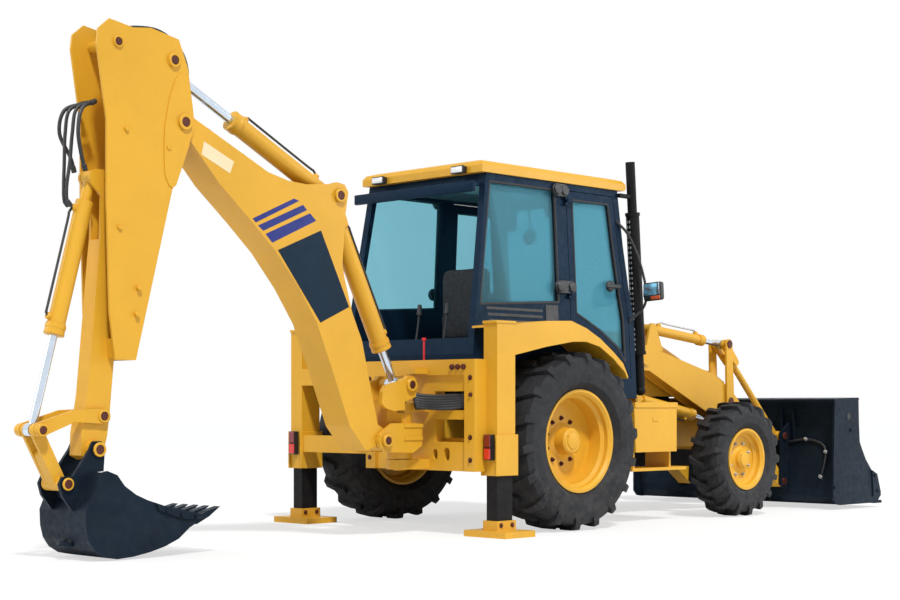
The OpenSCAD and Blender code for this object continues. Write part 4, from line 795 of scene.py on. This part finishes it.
cutters, lift_eye = Shape(), Shape()
for s in (-1, 1):
    y = sorted((HOE_Y + s * 249, HOE_Y + s * 264))
    cutters.prism([(-3500, 330), (-3430, 306), (-3287, 276), (-3116, 242), (-3124, 226), (-3230, 222),
                   (-3300, 226), (-3480, 284)], y[0], y[1], 3)
    for x, z in ((-3420, 280), (-3310, 251), (-3200, 237)):
        cutters.bolt((x, HOE_Y + s * 264, z), (0, s, 0), 13, 9)
cutters.done("hoe_bucket_side_cutters", BUCKET, "hoe_bucket", "worn_black_steel")
lift_eye.tube([(-3930, HOE_Y - 40, 92), (-3990, HOE_Y - 40, 96), (-4010, HOE_Y, 110),
               (-3990, HOE_Y + 40, 96), (-3930, HOE_Y + 40, 92)], 12, 10)
lift_eye.done("hoe_bucket_lifting_eye", BUCKET, "hoe_bucket", "worn_black_steel")

# ---------------------------------------------------------------- stage, light and camera
floor_mesh = bpy.data.meshes.new("floor")
FLOOR_HALF = 60.0
h = FLOOR_HALF
floor_mesh.from_pydata([(-h, -h, 0), (h, -h, 0), (h, h, 0), (-h, h, 0)], [], [(0, 1, 2, 3)])
floor = bpy.data.objects.new("floor", floor_mesh)
bpy.context.scene.collection.objects.link(floor)
fm, fnt, fp = new_material("pale_floor")
fp.inputs["Base Color"].default_value = (0.86, 0.86, 0.85, 1)
fp.inputs["Roughness"].default_value = 0.9
f_light = fnt.nodes.new("ShaderNodeEmission")
f_light.inputs["Color"].default_value = (1, 1, 1, 1)
f_light.inputs["Strength"].default_value = 1.0
f_path = fnt.nodes.new("ShaderNodeLightPath")
f_mix = fnt.nodes.new("ShaderNodeMixShader")
fac = map_range(fnt, f_path.outputs["Is Camera Ray"], 0, 1, 0.0, 0.62)
fnt.links.new(fac, f_mix.inputs[0])
fnt.links.new(fp.outputs[0], f_mix.inputs[1])
fnt.links.new(f_light.outputs[0], f_mix.inputs[2])
fnt.links.new(f_mix.outputs[0], fnt.nodes["Material Output"].inputs["Surface"])
floor_mesh.materials.append(fm)

world = bpy.data.worlds.new("studio")
bpy.context.scene.world = world
world.use_nodes = True
wnt = world.node_tree
bg = wnt.nodes["Background"]
bg.inputs["Color"].default_value = (0.90, 0.95, 1.0, 1)
bg.inputs["Strength"].default_value = 0.42
white = wnt.nodes.new("ShaderNodeBackground")
white.inputs["Color"].default_value = (1, 1, 1, 1)
white.inputs["Strength"].default_value = 1.0
path = wnt.nodes.new("ShaderNodeLightPath")
m1 = wnt.nodes.new("ShaderNodeMath")
m1.operation = "MAXIMUM"
m2 = wnt.nodes.new("ShaderNodeMath")
m2.operation = "MAXIMUM"
wnt.links.new(path.outputs["Is Camera Ray"], m1.inputs[0])
wnt.links.new(path.outputs["Is Glossy Ray"], m1.inputs[1])
wnt.links.new(m1.outputs[0], m2.inputs[0])
wnt.links.new(path.outputs["Is Transmission Ray"], m2.inputs[1])
wmix = wnt.nodes.new("ShaderNodeMixShader")
wnt.links.new(m2.outputs[0], wmix.inputs[0])
wnt.links.new(bg.outputs[0], wmix.inputs[1])
wnt.links.new(white.outputs[0], wmix.inputs[2])
wnt.links.new(wmix.outputs[0], wnt.nodes["World Output"].inputs["Surface"])


def area_light(name, place, target, size, watts):
    data = bpy.data.lights.new(name, "AREA")
    data.shape = "DISK"
    data.size = size
    data.energy = watts
    o = bpy.data.objects.new(name, data)
    o.location = place
    o.rotation_euler = (Vector(target) - Vector(place)).to_track_quat("-Z", "Y").to_euler()
    bpy.context.scene.collection.objects.link(o)


sun_data = bpy.data.lights.new("sun", "SUN")
sun_data.energy = 2.9
sun_data.angle = math.radians(6)
sun = bpy.data.objects.new("sun", sun_data)
sun.rotation_euler = Vector((0.35, 0.62, -0.95)).to_track_quat("-Z", "Y").to_euler()
bpy.context.scene.collection.objects.link(sun)
area_light("fill_rear", (-11, 6, 7), (0, 0, 1), 6, 380)
area_light("fill_front", (9, -9, 5), (0, 0, 1), 6, 380)

YAW = math.radians(44.625)
cam_data = bpy.data.cameras.new("camera")
cam_data.sensor_width = 36.0
cam_data.lens = 67.95
cam_data.shift_y = 0.1169
cam_data.clip_end = 500
cam = bpy.data.objects.new("camera", cam_data)
cam.location = (-9.584 + ORIGIN_X / 1000, -9.217, 0.926)
cam.rotation_euler = (math.radians(90), 0, YAW - math.radians(90))
bpy.context.scene.collection.objects.link(cam)
bpy.context.scene.camera = cam
bpy.context.scene.view_settings.view_transform = "Standard"
